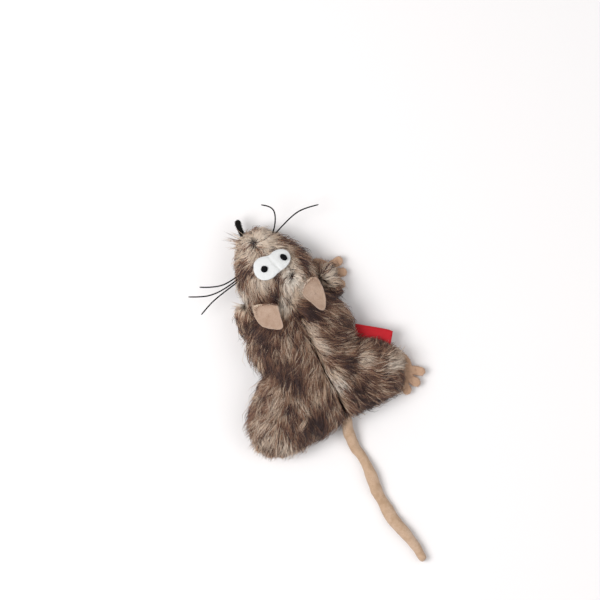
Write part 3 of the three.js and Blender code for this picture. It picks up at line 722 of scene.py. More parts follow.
def ear(side):
    """Two petals of suede, sewn together near the rim and slightly cupped."""
    solids = (f"ear_back_{side}", f"ear_lining_{side}")
    surface = surface_through(solids)
    piece, points, inwards, facing = cut_out(
        f"ear_{side}_suede", f"ear_{side}", surface, EAR_THICKNESS, EAR_ROUNDING
    )
    points[:, 2] -= facing * EAR_SEAM_DEPTH * np.exp(-(((inwards - EAR_SEAM) / EAR_SEAM_WIDTH) ** 2))
    off = points[:, :2] - points[:, :2].mean(axis=0)
    points[:, 2] += EAR_CUP * (off ** 2).sum(axis=1) - EAR_SINK
    points[:, 2] += EAR_WAVE * np.sin((off / EAR_WAVE_SPANS).sum(axis=1))
    move_points(piece, points)
    wrinkled(piece, size=2.6 * mm, depth=0.5 * mm)
    # the suede is paler towards the rim, fading inwards
    marked(piece.data, "paled", np.exp(-inwards / EAR_PALER_RIM))
    dressed(piece, ear_material)
    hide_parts(*solids)
    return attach(piece, f"ear_{side}")


def eye_patch():
    """One piece of soft felt, padded under both eyes, with a faint crease between them."""
    surface = surface_through(["eye_patch"], curved=True)
    piece, points, _, facing = cut_out("eye_patch_felt", "eye_patch", surface, PATCH_THICKNESS, PATCH_ROUNDING)
    off = (points[:, :2] - CREASE_PLACE) @ CREASE_ACROSS
    points[:, 2] -= (facing > 0) * CREASE_DEPTH * np.exp(-((off / CREASE_WIDTH) ** 2))
    move_points(piece, points)
    wrinkled(piece, size=1.7 * mm, depth=0.22 * mm)
    dressed(piece, patch_material)
    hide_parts("eye_patch")
    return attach(piece, "head")


def pupil(side):
    """A small domed felt dot."""
    node = f"pupil_{side}"
    piece = cut_out(f"{node}_dot", node, surface_through([node]), PUPIL_THICKNESS, PUPIL_ROUNDING)[0]
    wrinkled(piece, size=0.5 * mm, depth=0.1 * mm)
    dressed(piece, pupil_material)
    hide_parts(node)
    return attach(piece, "head")


ears = {side: ear(side) for side in ("left", "right")}
patch = eye_patch()
for side in ("left", "right"):
    pupil(side)


# Side label

RIBBON_THICKNESS = 0.3 * mm
RIBBON_GAP = 0.8 * mm  # between its two layers, at the fold
SEWN_GAP = 0.35  # share of that gap that is left at the sewn edges
RIBBON_CELLS = (40, 48)  # along the seam, and round the fold from edge to edge
RIBBON_WAVE, RIBBON_WAVES, RIBBON_WAVE_START = 0.35 * mm, 5.2, 0.4  # of its fold: height, and angles in radians
RIBBON_SINK = 0.1 * mm
CORNER_LIFT = 0.5 * mm  # of the corner at its far end
CORNER_CUT, CORNER_DEPTH = 0.5 * mm, 2 * mm


def side_label():
    """A ribbon folded over, its two raw edges sewn into the leg's seam; woven bare."""
    flap = joints["label_flap"]
    along, hinge = np.array(flap["axis"]), np.array(flap["pos_m"])
    depth = np.array([-along[1], along[0], 0])
    solid = points_of(nodes["side_label"]) - hinge
    first, last = (solid @ along).min(), (solid @ along).max()
    radius = RIBBON_GAP / 2
    sewn, fold = (solid @ depth).min(), (solid @ depth).max() - radius
    straight, bend = fold - sewn, math.pi * radius
    bpy.ops.object.select_all(action="DESELECT")
    bpy.ops.mesh.primitive_grid_add(x_subdivisions=RIBBON_CELLS[0], y_subdivisions=RIBBON_CELLS[1], size=2)
    ribbon = bpy.context.active_object
    ribbon.name = ribbon.data.name = "side_label_ribbon"
    share, run = (points_of(ribbon)[:, :2].T + 1) / 2
    u = first + share * (last - first)
    s = run * (2 * straight + bend)
    turn = np.clip((s - straight) / radius, 0, math.pi)
    folded_back = sewn + 2 * straight + bend - s
    v = np.select([s < straight, s > straight + bend], [sewn + s, folded_back], fold + radius * np.sin(turn))
    free = np.clip((v - sewn) / straight, 0, 1)
    z = -radius * np.cos(turn) * (SEWN_GAP + (1 - SEWN_GAP) * free)
    wave = RIBBON_WAVE * np.sin(share * RIBBON_WAVES + RIBBON_WAVE_START)
    z += (wave + CORNER_LIFT * share ** 6 - RIBBON_SINK) * free
    v -= CORNER_CUT * share ** 10 * (v > fold - CORNER_DEPTH)
    place = hinge + along * across(u) + depth * across(v)
    place[:, 2] += z
    move_points(ribbon, place)
    marked(ribbon.data, "weave", np.stack([u, s, np.zeros(len(u))], axis=1), "FLOAT_VECTOR")
    apply_modifier(ribbon, "SOLIDIFY", thickness=RIBBON_THICKNESS, offset=0)
    smooth_shaded(ribbon)
    dressed(ribbon, ribbon_material)
    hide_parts("side_label")
    last - first
    2 * straight + bend
    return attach(ribbon, "label")


label = side_label()


# Strands: hairs and fibres

STRAND_SPREADS = (1.2, 0.75, 1.0)  # by which it widens or narrows at the end of each stretch
CAP_LOOKS_DOWN = 0.9  # how squarely, at the least, the face that closes the root does
CAP_MIDDLE, CAP_SCALE = np.array([0.5, 0.06]), np.array([0.3, 0.06])  # of that face on a strand's cell
SIDES_FROM = 0.15  # height on the cell at which the strand's sides begin
CELL_MARGIN = 0.1
ON_AXIS = 1e-9
UPRIGHT = 0.05  # the least slant at which a strand's sides are set by the level


def strand_shape():
    """One strand, a unit long and wide, with three sides, a closed root and a pointed tip."""
    bpy.ops.object.select_all(action="DESELECT")
    bpy.ops.mesh.primitive_circle_add(vertices=3, radius=0.5, fill_type="NGON")
    strand = bpy.context.active_object
    bpy.ops.object.mode_set(mode="EDIT")
    for spread in STRAND_SPREADS:
        bpy.ops.mesh.extrude_region_move(TRANSFORM_OT_translate={"value": (0, 0, 1 / HAIR_STRETCHES)})
        bpy.ops.transform.resize(value=(spread, spread, 1))
    bpy.ops.mesh.merge(type="CENTER")
    bpy.ops.mesh.select_all(action="SELECT")
    bpy.ops.mesh.normals_make_consistent(inside=False)
    bpy.ops.object.mode_set(mode="OBJECT")
    return strand


def strand_map(strand):
    """Where each face corner of a strand lies on its cell of the UV map."""
    cell = []
    for face in strand.data.polygons:
        middle = math.atan2(face.center.y, face.center.x) / math.tau
        for k in face.vertices:
            x, y, z = strand.data.vertices[k].co
            if abs(face.normal.z) > CAP_LOOKS_DOWN:
                cell.append(CAP_MIDDLE + CAP_SCALE * (x, y))
                continue
            turn = math.atan2(y, x) / math.tau if x * x + y * y > ON_AXIS else middle
            turn = middle + (turn - middle + 0.5) % 1
            cell.append((turn, SIDES_FROM + (1 - SIDES_FROM) * z))
    cell = np.array(cell)
    cell[:, 0] = (cell[:, 0] - cell[:, 0].min()) / (cell[:, 0].max() - cell[:, 0].min())
    return cell * (1 - 2 * CELL_MARGIN) + CELL_MARGIN


strand = strand_shape()
strand_points = points_of(strand)
strand_cell = strand_map(strand)
strand_faces = [list(face.vertices) for face in strand.data.polygons]
bpy.data.objects.remove(strand)


def strand_mesh(name, line, width, roots, **marks):
    """A copy of the strand along each line, every one with its own cell of the UV map."""
    count, each = len(line), len(strand_points)
    ahead = unit(np.gradient(line, axis=1))
    side = np.cross(ahead, (0.0, 0.0, 1.0))
    upright = np.linalg.norm(side, axis=-1, keepdims=True) < UPRIGHT
    side = unit(np.where(upright, np.cross(ahead, (0.0, 1.0, 0.0)), side))
    over = np.cross(side, ahead)
    level = np.rint(strand_points[:, 2] * HAIR_STRETCHES).astype(int)
    aside = side[:, level] * strand_points[:, :1] + over[:, level] * strand_points[:, 1:2]
    points = line[:, level] + aside * across(across(width))
    loops = np.concatenate(strand_faces) + across(np.arange(count) * each)
    sizes = np.tile([len(face) for face in strand_faces], count)
    mesh = bpy.data.meshes.new(name)
    mesh.vertices.add(count * each)
    mesh.vertices.foreach_set("co", points.reshape(-1))
    mesh.loops.add(loops.size)
    mesh.loops.foreach_set("vertex_index", loops.reshape(-1).astype(np.int32))
    mesh.polygons.add(len(sizes))
    mesh.polygons.foreach_set("loop_start", (np.cumsum(sizes) - sizes).astype(np.int32))
    mesh.update(calc_edges=True)
    mesh.shade_smooth()
    grid = math.ceil(math.sqrt(count))
    corner = np.stack([np.arange(count) % grid, np.arange(count) // grid], axis=1)
    cells = (strand_cell[None] + corner[:, None]) / grid
    mesh.uv_layers.new(name="OFBake").data.foreach_set("uv", cells.reshape(-1).astype(np.float32))
    for mark, values in marks.items():
        marked(mesh, mark, np.repeat(values, each))
    marked(mesh, "along", np.tile(strand_points[:, 2], count))
    marked(mesh, "root", np.repeat(roots, each, axis=0), "FLOAT_VECTOR")
    return mesh


def strewn(piece, per_area, chance):
    """Roots strewn evenly over a surface, with the way that it faces there."""
    points, normals, corners = points_of(piece), normals_of(piece), triangles_of(piece)
    a, b, c = (points[corners[:, k]] for k in range(3))
    area = np.linalg.norm(np.cross(b - a, c - a), axis=1) / 2
    face = chance.choice(len(area), int(area.sum() * per_area), p=area / area.sum())
    u, v = chance.random(len(face)), chance.random(len(face))
    swap = u + v > 1
    u[swap], v[swap] = 1 - u[swap], 1 - v[swap]
    shares = np.stack([1 - u - v, u, v], axis=1)[:, :, None]
    return (points[corners[face]] * shares).sum(axis=1), unit((normals[corners[face]] * shares).sum(axis=1))


# The tables that follow are of places on the mouse, seen from above, with the radii round them, both in mm

# How the pile is combed: place, and the way the hair lies there
comb_strokes = (
    # muzzle and head
    ((-9, 50), (-0.85, 0.53)), ((-6.5, 47), (-0.9, 0.1)), ((-2.5, 49.5), (0.2, 0.98)), ((1.5, 47.5), (0.75, 0.35)),
    ((4, 44), (0.8, -0.5)), ((-5.5, 42.5), (-0.75, -0.6)), ((0, 42), (0.35, -0.9)), ((-12, 43), (-0.85, -0.5)),
    ((-15, 35), (-0.5, -0.87)), ((9, 41), (0.6, -0.8)), ((13, 34), (0.5, -0.87)), ((-10, 28), (-0.4, -0.92)),
    ((-3, 27), (-0.2, -0.98)), ((2.5, 25.5), (-0.6, -0.8)), ((8.5, 26), (0.6, -0.8)), ((5.4, 22), (-0.3, -0.95)),
    ((9.5, 22.5), (0.3, -0.95)), ((0, 20), (-0.2, -0.98)), ((-15, 27), (-0.6, -0.8)),
    # shoulders and front legs
    ((-20, 24), (-0.4, -0.9)), ((-22, 14), (-0.3, -0.95)), ((-16, 12), (-0.5, -0.87)), ((17, 25), (0.3, 0.95)),
    ((20, 20), (0.9, 0.2)), ((21, 16), (0.95, -0.3)), ((20, 11), (0.6, -0.8)), ((18, 7), (0.8, -0.6)),
    # back, which parts along its seam
    ((-5, 12), (-0.35, -0.94)), ((-14, 10), (-0.35, -0.94)), ((-20, 6), (-0.45, -0.89)), ((6, 12), (0.55, -0.83)),
    ((14, 8), (0.8, -0.6)), ((18, 2), (0.85, -0.53)), ((-4, -8), (-0.45, -0.89)), ((-12, -8), (-0.55, -0.83)),
    ((-20, -6), (-0.55, -0.83)), ((5, -6), (0.6, -0.8)), ((13, -10), (0.85, -0.53)), ((-4, -24), (-0.35, -0.94)),
    ((5, -24), (0.3, -0.95)), ((-7, -35), (-0.35, -0.94)), ((8, -35), (0.4, -0.92)),
    # hind legs
    ((-18, -20), (-0.55, -0.83)), ((-30, -20), (-0.8, -0.6)), ((-34, -30), (-0.65, -0.76)),
    ((-22, -34), (-0.4, -0.92)), ((19, -11), (0.55, 0.8)), ((25, -15), (0.65, 0.75)), ((30, -19), (0.9, 0.4)),
    ((18, -20), (0.85, -0.3)), ((26, -23), (0.85, -0.5)), ((0, -35), (0, -1)), ((31, -29), (0.7, -0.7)),
    ((20, -32), (0.5, -0.87)),
)

# Where the fur shows darker, above 0, or paler, below it, than its mottling: place, radius and amount
dye_spots = (
    ((-2, 36), 16, -0.6), ((-2.0, 40.4), 1.9, 1.3), ((6.0, 24.5), 4.4, -1.6), ((4.0, 21), 3.4, -1.4),
    ((-0.5, 25.5), 1.7, 0.6), ((13, 26), 1.8, 0.6), ((-4.5, 19.5), 2.2, 0.8), ((-6, 45.5), 5, -0.4),
    ((2.5, 45.5), 4.5, -0.45), ((-12.8, 39.5), 2.2, 0.45), ((-14.5, 34.4), 2.4, 0.45), ((10.8, 41), 2.2, 0.6),
    ((13.2, 36.5), 2.0, 0.6), ((14.4, 31.6), 2.6, 0.9), ((10, 35.5), 2.4, -0.4), ((-8, 26.5), 3.0, -0.7),
    ((-15, 27.5), 2.6, 0.6), ((-9.8, 22.6), 2.0, 0.3), ((-4.2, 15.5), 2.6, -0.9), ((-3.0, 12.6), 2.4, -0.8),
    ((0.4, 17.2), 2.4, -0.5), ((7.7, 5.4), 4.0, 0.7), ((15.1, 0.0), 5.0, 0.1), ((4.6, 0.0), 2.2, -0.6),
    ((5.4, -6), 2.6, -0.65), ((6.2, -10), 3.0, -0.4), ((3.6, -24.6), 3.8, -1.4), ((11.3, -32.1), 4.5, 0.6),
    ((20.0, -19.8), 3.6, -0.8), ((11.0, -17.7), 3.5, 0.25), ((29.1, -25.5), 4.0, -0.9), ((23.8, -24.0), 2.2, 0.15),
    ((-8.8, -2.1), 2.5, -0.35), ((-19.3, -2.9), 3.5, 0.45), ((-26.6, -19.9), 4, -0.4), ((-11.2, -16.5), 3, 0.35),
    ((-12.0, -34.9), 3.5, 0.7), ((-35.0, -25.9), 4.5, -0.45), ((-15.5, -29.0), 3.5, -0.35),
    ((-28.7, -38.1), 4, -0.7), ((-35, -33), 3.5, -0.5), ((-18.9, 24), 4, -1.4), ((-20.5, 12), 3.5, 0.3),
    ((22, 19), 4.5, -0.6), ((19, 9), 3.5, 0.7), ((-0.4, 7.5), 2.5, 0.4),
)

DYE_LIMITS = (-1.6, 0.9)

# Two stitched dimples of the face, from which the hair turns away: place and radius
dimples = (((-2.5, 44.6), 2.0), ((5.6, 25.4), 3.2))

# Where the pile is clipped shorter, or below 0 left longer: place, radius and share
clipped = (
    ((-3, 47), 9, 0.36), ((0, 34), 9, 0.25), ((32, -31), 6.5, 0.85), ((-33, -37), 3.5, 0.4), ((25, 19), 5, 0.85),
    ((23.5, 12.5), 4, 0.7), ((20.5, 14), 3, 0.3), ((21.5, 10), 3, 0.3), ((5.6, 25.4), 3.6, 0.4),
    ((-36, -34.5), 4.5, 0.4), ((-37, -25), 4, 0.25), ((17, 7), 4, -0.3), ((-20, 9), 4, -0.3),
    ((-15, 26), 3.5, -0.2), ((17, 26), 3.5, -0.2), ((-23, 22), 5, 0.75), ((-13, -35), 5, 0.25), ((18, -9), 4, -0.2),
)
PILE_SHARES = (0.15, 1.4)  # at the least and at the most

# Where hair keeps straight on for longer, over what is sewn on beyond it: place, radius and how much straighter
stiffer = (
    ((23, -10), 7, 1.2), ((16, -3), 4, 0.8), ((0.4, -35), 4, 0.6), ((-14, 27), 4, 0.5), ((17, 7), 5, 0.8),
    ((17, 25), 4, 0.6),
)

# Loose wisps: place, direction, length in mm and number of hairs
wisps = (
    ((-7.0, 49.0), (-0.85, 0.53), 9, 34), ((-8.0, 46.5), (-0.95, 0.3), 7, 22), ((-18.0, 25.5), (-0.86, 0.3), 6, 18),
    ((-21.5, -1.0), (-0.8, 0.3), 7, 26), ((-25.5, -13.0), (-0.95, -0.2), 6, 24), ((9.0, 41.5), (0.75, -0.3), 6, 22),
    ((12.5, 36.0), (0.8, -0.5), 6, 22), ((15.5, -4.0), (0.8, -0.6), 6, 60), ((1.8, -33.8), (-0.05, -1), 4.5, 110),
    ((-1.6, -34.0), (0.15, -1), 4.5, 90), ((-34.5, -22), (-0.85, -0.5), 7, 130),
    ((-36.5, -29), (-0.85, -0.5), 7, 130), ((-34.5, -35), (-0.75, -0.65), 6.5, 150),
    ((-27.5, -37), (-0.5, -0.85), 6, 130), ((-21, -36), (-0.2, -1), 5.5, 110), ((-15, -35), (0.1, -1), 5, 70),
    ((-10, -34.5), (0.2, -1), 4.5, 50), ((9, -34), (0.3, -0.95), 5, 50), ((18, -32), (0.4, -0.9), 5, 50),
    ((27, -17), (0.9, 0.2), 6, 50), ((24, -31), (0.5, -0.85), 5, 40), ((17, 3), (0.95, -0.2), 6, 40),
    ((19.0, -9.5), (0.2, 1), 5, 160), ((22.5, -12.5), (0.3, 0.95), 5, 160), ((26, -15), (0.35, 0.94), 4.5, 140),
    ((16.5, 24.5), (0.35, 0.94), 6, 160), ((-17.0, 22.5), (-0.4, -0.9), 6, 90),
    ((-19.5, 11.5), (-0.55, -0.83), 7, 200),
)

LOW_CLIPPED, LOW_ENDS = 0.3, (9 * mm, 6 * mm)  # how much shorter it is low down, from where, and over which height

COMB_FALLOFF, COMB_SOFTNESS = 1.6, 4.0  # how fast a stroke's pull falls, and from how many square mm on
SIDE_DROOP = 0.6  # how much the hair on the sides hangs down
PARTING_CALM, PARTING_CALM_WIDTH = 0.8, 3.5 * mm  # how much less the hair strays beside the parting

PARTING_START, PARTING_END = 17 * mm, -31 * mm
PARTING_WAVES = ((0.45 * mm, 4.3 * mm, 0), (0.25 * mm, 1.7 * mm, 1))  # how it wanders: width, span and start
PARTING_GAP = 0.22 * mm
PARTING_CROSSED = 0.06  # share of the hairs that cross it
PARTING_FORCE, PARTING_REACH = 1.1, 1.6 * mm  # with which the hair beside it is combed away from it
PARTING_ENDS = (20 * mm, 4 * mm)  # where that starts, and over which length

# How tufts, and hairs in a tuft, differ
TUFT_STRAY, HAIR_STRAY = 0.22, 0.16  # radians
TUFT_LENGTHS, TUFT_HEIGHTS = 0.1, 0.2
HAIR_LENGTHS, HAIR_HEIGHTS = (0.75, 1.12), (0.65, 1.12)
HEIGHT_LIMITS = (0.3, 1.5)
STRAIGHTNESS = (0.6, 1.4)
STRAIGHT_LIMIT = 0.95
HAIR_UNEVEN = 0.1 * mm
TUFT_TINT = 0.6  # share of a hair's tint that it has from its tuft
GUARD_LENGTH, GUARD_HEIGHT, GUARD_STRAIGHTNESS, GUARD_PULL, GUARD_WIDTH = 1.15, 1.9, 2.2, 0.4, 0.66

WISP_SPREAD = 1.7 * mm
WISP_HEIGHT, WISP_HEIGHT_SPREAD = 11 * mm, 1.5 * mm
WISP_FAN = 0.35
WISP_RISE, WISP_RISE_SPREAD = 0.05, 0.12
WISP_LENGTHS = (0.5, 1.1)
WISP_STANDS_OFF = 0.25
WISP_DROOPS = (0.1, -0.08, -0.2)
WISP_TINTS = (0.1, 0.9)


def combing(places):
    """The way that hair lies at these places, seen from above."""
    starts = np.array([place for place, _ in comb_strokes], float)
    ways = np.array([way for _, way in comb_strokes], float)
    apart = np.linalg.norm(places[:, None, :2] / mm - starts[None], axis=2)
    lie = unit((1 / (apart ** 2 + COMB_SOFTNESS) ** COMB_FALLOFF) @ ways)
    for spot, radius in dimples:
        away = unit(places[:, :2] / mm - spot)
        reach = across(reach_of(places, spot, radius))
        lie = lie * (1 - reach) + away * reach
    off = places[:, 0] - spine
    force = PARTING_FORCE * np.exp(-np.abs(off) / PARTING_REACH) * faded(places[:, 1], *PARTING_ENDS)
    lie[:, 0] += np.sign(off) * force
    return np.concatenate([unit(lie), np.zeros((len(places), 1))], axis=1)


def swirl(places):
    """How far the hair strays from its combing, in slow waves over the skin, in radians."""
    x, y = places[:, 0] / mm, places[:, 1] / mm
    turn = 0.24 * np.sin(x / 2.9 + 1.7 * np.sin(y / 6.1)) + 0.2 * np.sin(y / 3.7 + 1.2 * np.sin(x / 5.3) + 2)
    beside = np.exp(-(((places[:, 0] - spine) / PARTING_CALM_WIDTH) ** 2)) * (places[:, 1] < PARTING_START)
    return turn * (1 - PARTING_CALM * beside)


def spotted(places, spots):
    """The amounts of these spots together, each of which fades out round its place."""
    return sum(amount * reach_of(places, spot, radius) for spot, radius, amount in spots)


def pile_share(places):
    """How long the pile is left, as a share of its full length."""
    share = np.clip(1 - spotted(places, clipped), *PILE_SHARES)
    return share * (1 - LOW_CLIPPED * faded(places[:, 2], *LOW_ENDS))


def parting(y):
    """Where the pile parts, which wanders a little along the spine."""
    return spine + sum(width * np.sin(y / span + start) for width, span, start in PARTING_WAVES)


def laid_way(places, normals):
    """The combing, along the skin, with the hair on the sides hanging down."""
    way = combing(places)
    way[:, 2] -= SIDE_DROOP * (1 - np.abs(normals[:, 2]))
    return unit(way - normals * dot(way, normals))


def combed_lines(tree, place, normal, chance):
    """The middle lines of hairs, which leave the skin and then lie along it as it curves."""
    count = len(place)
    chosen = chance.permutation(count)[: count // TUFT_HAIRS]
    tufts = KDTree(len(chosen))
    for i, k in enumerate(chosen):
        tufts.insert(place[k], i)
    tufts.balance()
    tuft = np.array([tufts.find(spot)[1] for spot in place])

    def by_tuft(middle, spread):
        return chance.normal(middle, spread, len(chosen))[tuft]

    guard = chance.random(count) < GUARD_SHARE
    turn = swirl(place) + by_tuft(0, TUFT_STRAY) + chance.normal(0, HAIR_STRAY, count)
    share = pile_share(place)
    length = PILE_LENGTH * share * by_tuft(1, TUFT_LENGTHS) * chance.uniform(*HAIR_LENGTHS, count)
    height = by_tuft(1, TUFT_HEIGHTS) * chance.uniform(*HAIR_HEIGHTS, count)
    height = PILE_HEIGHT * np.clip(height, *HEIGHT_LIMITS) * share
    length *= np.where(guard, GUARD_LENGTH, 1)
    height *= np.where(guard, GUARD_HEIGHT, 1)
    straightness = chance.uniform(*STRAIGHTNESS, count) * np.where(guard, GUARD_STRAIGHTNESS, 1)
    straightness += spotted(place, stiffer)
    line, foot = [place], place
    for rise, stiffness in zip(HAIR_RISE, PILE_STIFFNESS):
        way = turned_about(laid_way(foot, normal), normal, turn)
        step = way * across(length / HAIR_STRETCHES)
        straight = line[-1] + step
        foot, normal = snapped(tree, foot + step)
        low = foot + normal * across(height * rise)
        line.append(low + (straight - low) * across(np.minimum(stiffness * straightness, STRAIGHT_LIMIT)))
    line = np.stack(line, axis=1)
    pull = np.array(TUFT_PULL)[None, :, None] * np.where(guard, GUARD_PULL, 1)[:, None, None]
    line = line * (1 - pull) + line[chosen[tuft]] * pull
    line[:, 2:] += chance.normal(0, HAIR_UNEVEN, (count, HAIR_STRETCHES - 1, 3))
    parted = (place[:, 1] < PARTING_START) & (place[:, 1] > PARTING_END) & (place[:, 2] > flank_seam)
    parted &= chance.random(count) > PARTING_CROSSED
    side = np.where(place[parted, 0] > spine, 1.0, -1.0)[:, None]
    middle = parting(line[parted, 1:, 1])
    line[parted, 1:, 0] = middle + side * np.maximum((line[parted, 1:, 0] - middle) * side, PARTING_GAP)
    tint = TUFT_TINT * chance.random(len(chosen))[tuft] + (1 - TUFT_TINT) * chance.random(count)
    return line, tint, guard


def wisp_roots(tree, chance):
    """Roots, ways and lengths of the hairs of the loose wisps."""
    places, ways, lengths = [], [], []
    for (x, y), way, length, count in wisps:
        spots = np.array([x, y, 0]) * mm + chance.normal(0, WISP_SPREAD, (count, 3))
        spots[:, 2] = WISP_HEIGHT + chance.normal(0, WISP_HEIGHT_SPREAD, count)
        places.append(spots)
        fan = chance.normal(0, WISP_FAN, count)
        rise = chance.normal(WISP_RISE, WISP_RISE_SPREAD, count)
        ways.append(unit(np.stack([way[0] - way[1] * fan, way[1] + way[0] * fan, rise], axis=1)))
        lengths.append(length * mm * chance.uniform(*WISP_LENGTHS, count))
    place, normal = snapped(tree, np.concatenate(places))
    return place, unit(np.concatenate(ways) + normal * WISP_STANDS_OFF), np.concatenate(lengths)


def wisp_lines(tree, chance):
    place, way, length = wisp_roots(tree, chance)
    line = [place]
    for droop in WISP_DROOPS:
        line.append(line[-1] + unit(way + (0, 0, droop)) * across(length / HAIR_STRETCHES))
    return np.stack(line, axis=1)


ABOVE_ALL = 60 * mm
STOP_STEPS = 16  # at which a hair is tried for where it first meets an ear
LEAST_STOP, OVERLAP_SKEW = 0.1, 1.5


def laid(line, rows, piece, slack, over=False):
    """These hairs, where they pass a sewn-on piece, lie below it, or over it, with this much space."""
    tree = tree_of(piece)
    start, limit = (ABOVE_ALL, np.maximum) if over else (0, np.minimum)
    for level in range(1, line.shape[1]):
        spots = line[rows, level].copy()
        spots[:, 2] = start
        heights = ray_heights(tree, spots, down=over)
        met = np.isfinite(heights)
        line[rows[met], level, 2] = limit(line[rows[met], level, 2], heights[met] + (slack if over else -slack))


def stopped_at(line, side, chance):
    """Hair combed towards an ear's sewn edge stops just past it, on the ear; the rest lies under the ear."""
    hinge = joints[f"ear_{side}_fold"]
    axis = np.array(hinge["axis"])
    back = np.array([-axis[1], axis[0], 0])
    back *= -np.sign(back[1])
    tree = tree_of(ears[side])
    low, high = (np.array(corner) for corner in (ears[side].bound_box[0], ears[side].bound_box[6]))
    near = ((line[:, 0] > low - PILE_LENGTH) & (line[:, 0] < high + PILE_LENGTH))[:, :2].all(axis=1)
    rows = np.nonzero(near)[0]
    shares = np.linspace(0, 1, STOP_STEPS)
    levels = shares * HAIR_STRETCHES
    base = np.minimum(levels.astype(int), HAIR_STRETCHES - 1)
    part = (levels - base)[None, :, None]
    spots = line[rows][:, base] * (1 - part) + line[rows][:, base + 1] * part
    spots[:, :, 2] = 0
    met = np.isfinite(ray_heights(tree, spots.reshape(-1, 3), down=False)).reshape(len(rows), -1)
    ahead = ((line[rows, 0] - np.array(hinge["pos_m"])) @ back < 0) & ~met[:, 0] & met.any(axis=1)
    over = rows[ahead]
    reach = np.linalg.norm(line[over, -1] - line[over, 0], axis=1)
    stop = shares[met[ahead].argmax(axis=1)] + EAR_OVERLAP * chance.random(len(over)) ** OVERLAP_SKEW / reach
    stop = np.clip(stop, LEAST_STOP, 1)[:, None, None]
    line[over] = line[over, :1] + (line[over] - line[over, :1]) * stop
    laid(line, over, ears[side], slack=0.2 * mm, over=True)
    laid(line, rows[~ahead], ears[side], slack=0.15 * mm)


def kept_clear(line, chance):
    """Lays all hairs under or over what is sewn on, and above the floor."""
    height = line[:, 0, 2].copy()
    for side in ears:
        stopped_at(line, side, chance)
    laid(line, np.arange(len(line)), patch, slack=0.1 * mm)
    over_label = height > label.bound_box[6][2]
    laid(line, np.nonzero(over_label)[0], label, slack=0.3 * mm, over=True)
    laid(line, np.nonzero(~over_label)[0], label, slack=0.3 * mm)
    floor = FLOOR_CLEARANCE + chance.random(len(line)) * 0.5 * mm
    line[:, 1:, 2] = np.maximum(line[:, 1:, 2], across(floor))


def pile_shares(place):
    """Each pile's hairs, by where they grow, its body and the cover that it stands for."""
    trees = [tree_of(nodes[name]) for name in stuffings]
    apart = [[near.find_nearest(spot)[3] for spot in place.tolist()] for near in trees]
    owner = np.array(apart).argmin(axis=0)
    torso, head = owner == 0, owner == 1
    right, upper, fore = place[:, 0] > spine, place[:, 2] > flank_seam, place[:, 1] > BACK_MIDDLE
    head_upper, face = head & (place[:, 2] > chin_seam), place[:, 1] > FACE_START
    shares = {}
    for side, there in (("right", right), ("left", ~right)):
        for end, part in (("fore", fore), ("rear", ~fore)):
            shares[f"back_pile_{side}_{end}"] = (torso & upper & there & part, "torso", f"back_panel_{side}")
    shares["belly_pile"] = (torso & ~upper, "torso", "belly_panel")
    shares["face_pile"] = (head_upper & face, "head", "head_cover")
    shares["crown_pile"] = (head_upper & ~face, "head", "head_cover")
    shares["chin_pile"] = (head & (place[:, 2] <= chin_seam), "head", "chin_panel")
    for k, body in enumerate(owners[2:], 2):
        _, end, side = body.split("_")
        for level, there in (("upper", upper), ("lower", ~upper)):
            shares[f"{body}_{level}_pile"] = ((owner == k) & there, body, f"{end}_leg_cover_{side}")
    return shares


def grow_pile():
    chance = np.random.default_rng(PILE_SEED)
    form = copy_of("pile_form", *stuffings, "catnip_pouch")
    drawn_in(grooved(fused(form, SKIN_VOXEL, SKIN_ROUNDS, SKIN_SWELL)))
    tree = tree_of(form)
    place, normal = strewn(form, PILE_DENSITY, chance)
    keep = chance.random(len(place)) < np.where(place[:, 2] < UNDERSIDE_HEIGHT, UNDERSIDE_SHARE, 1)
    bare = (np.abs(place[:, 0] - spine) < BARE_SEAM) & (place[:, 1] < PARTING_START) & (place[:, 2] > flank_seam)
    line, tint, guard = combed_lines(tree, place[keep & ~bare], normal[keep & ~bare], chance)
    loose = wisp_lines(tree, chance)
    line = np.concatenate([line, loose])
    tint = np.concatenate([tint, chance.uniform(*WISP_TINTS, len(loose))])
    thin = np.concatenate([guard, np.ones(len(loose), bool)])
    thickness = HAIR_WIDTH * np.where(thin, GUARD_WIDTH, 1) * chance.uniform(*HAIR_WIDTHS, len(line))
    place = line[:, 0].copy()
    kept_clear(line, chance)
    for name, (rows, body, cover) in pile_shares(place).items():
        mine = np.nonzero(rows)[0][-HAIR_LIMIT:]
        dye = np.clip(spotted((line[mine, 2] + line[mine, 3]) / 2, dye_spots), *DYE_LIMITS)
        pile = new_piece(name, strand_mesh(name, line[mine], thickness[mine], place[mine], tint=tint[mine], dye=dye))
        dressed(pile, fur_material)
        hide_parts(cover)
        if body == "torso":
            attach(pile, "torso")
        else:
            bend_with(pile, body)
    bpy.data.objects.remove(form)


grow_pile()

for body, stuffing in zip(owners, stuffings):
    skin = torso_skin() if body == "torso" else skin_of(body)
    dressed(skin, backing_material)
    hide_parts(stuffing)
    if body == "torso":
        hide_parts("catnip_pouch")
        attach(skin, "torso")
    else:
        bend_with(skin, body)


# Fibres that stand off felt and yarn

FUZZ_LENGTHS = (0.4, 1.2)
FUZZ_BEND, FUZZ_CURL = 0.35, 0.6
FUZZ_STEPS = (0, 0.33, 0.67, 1)


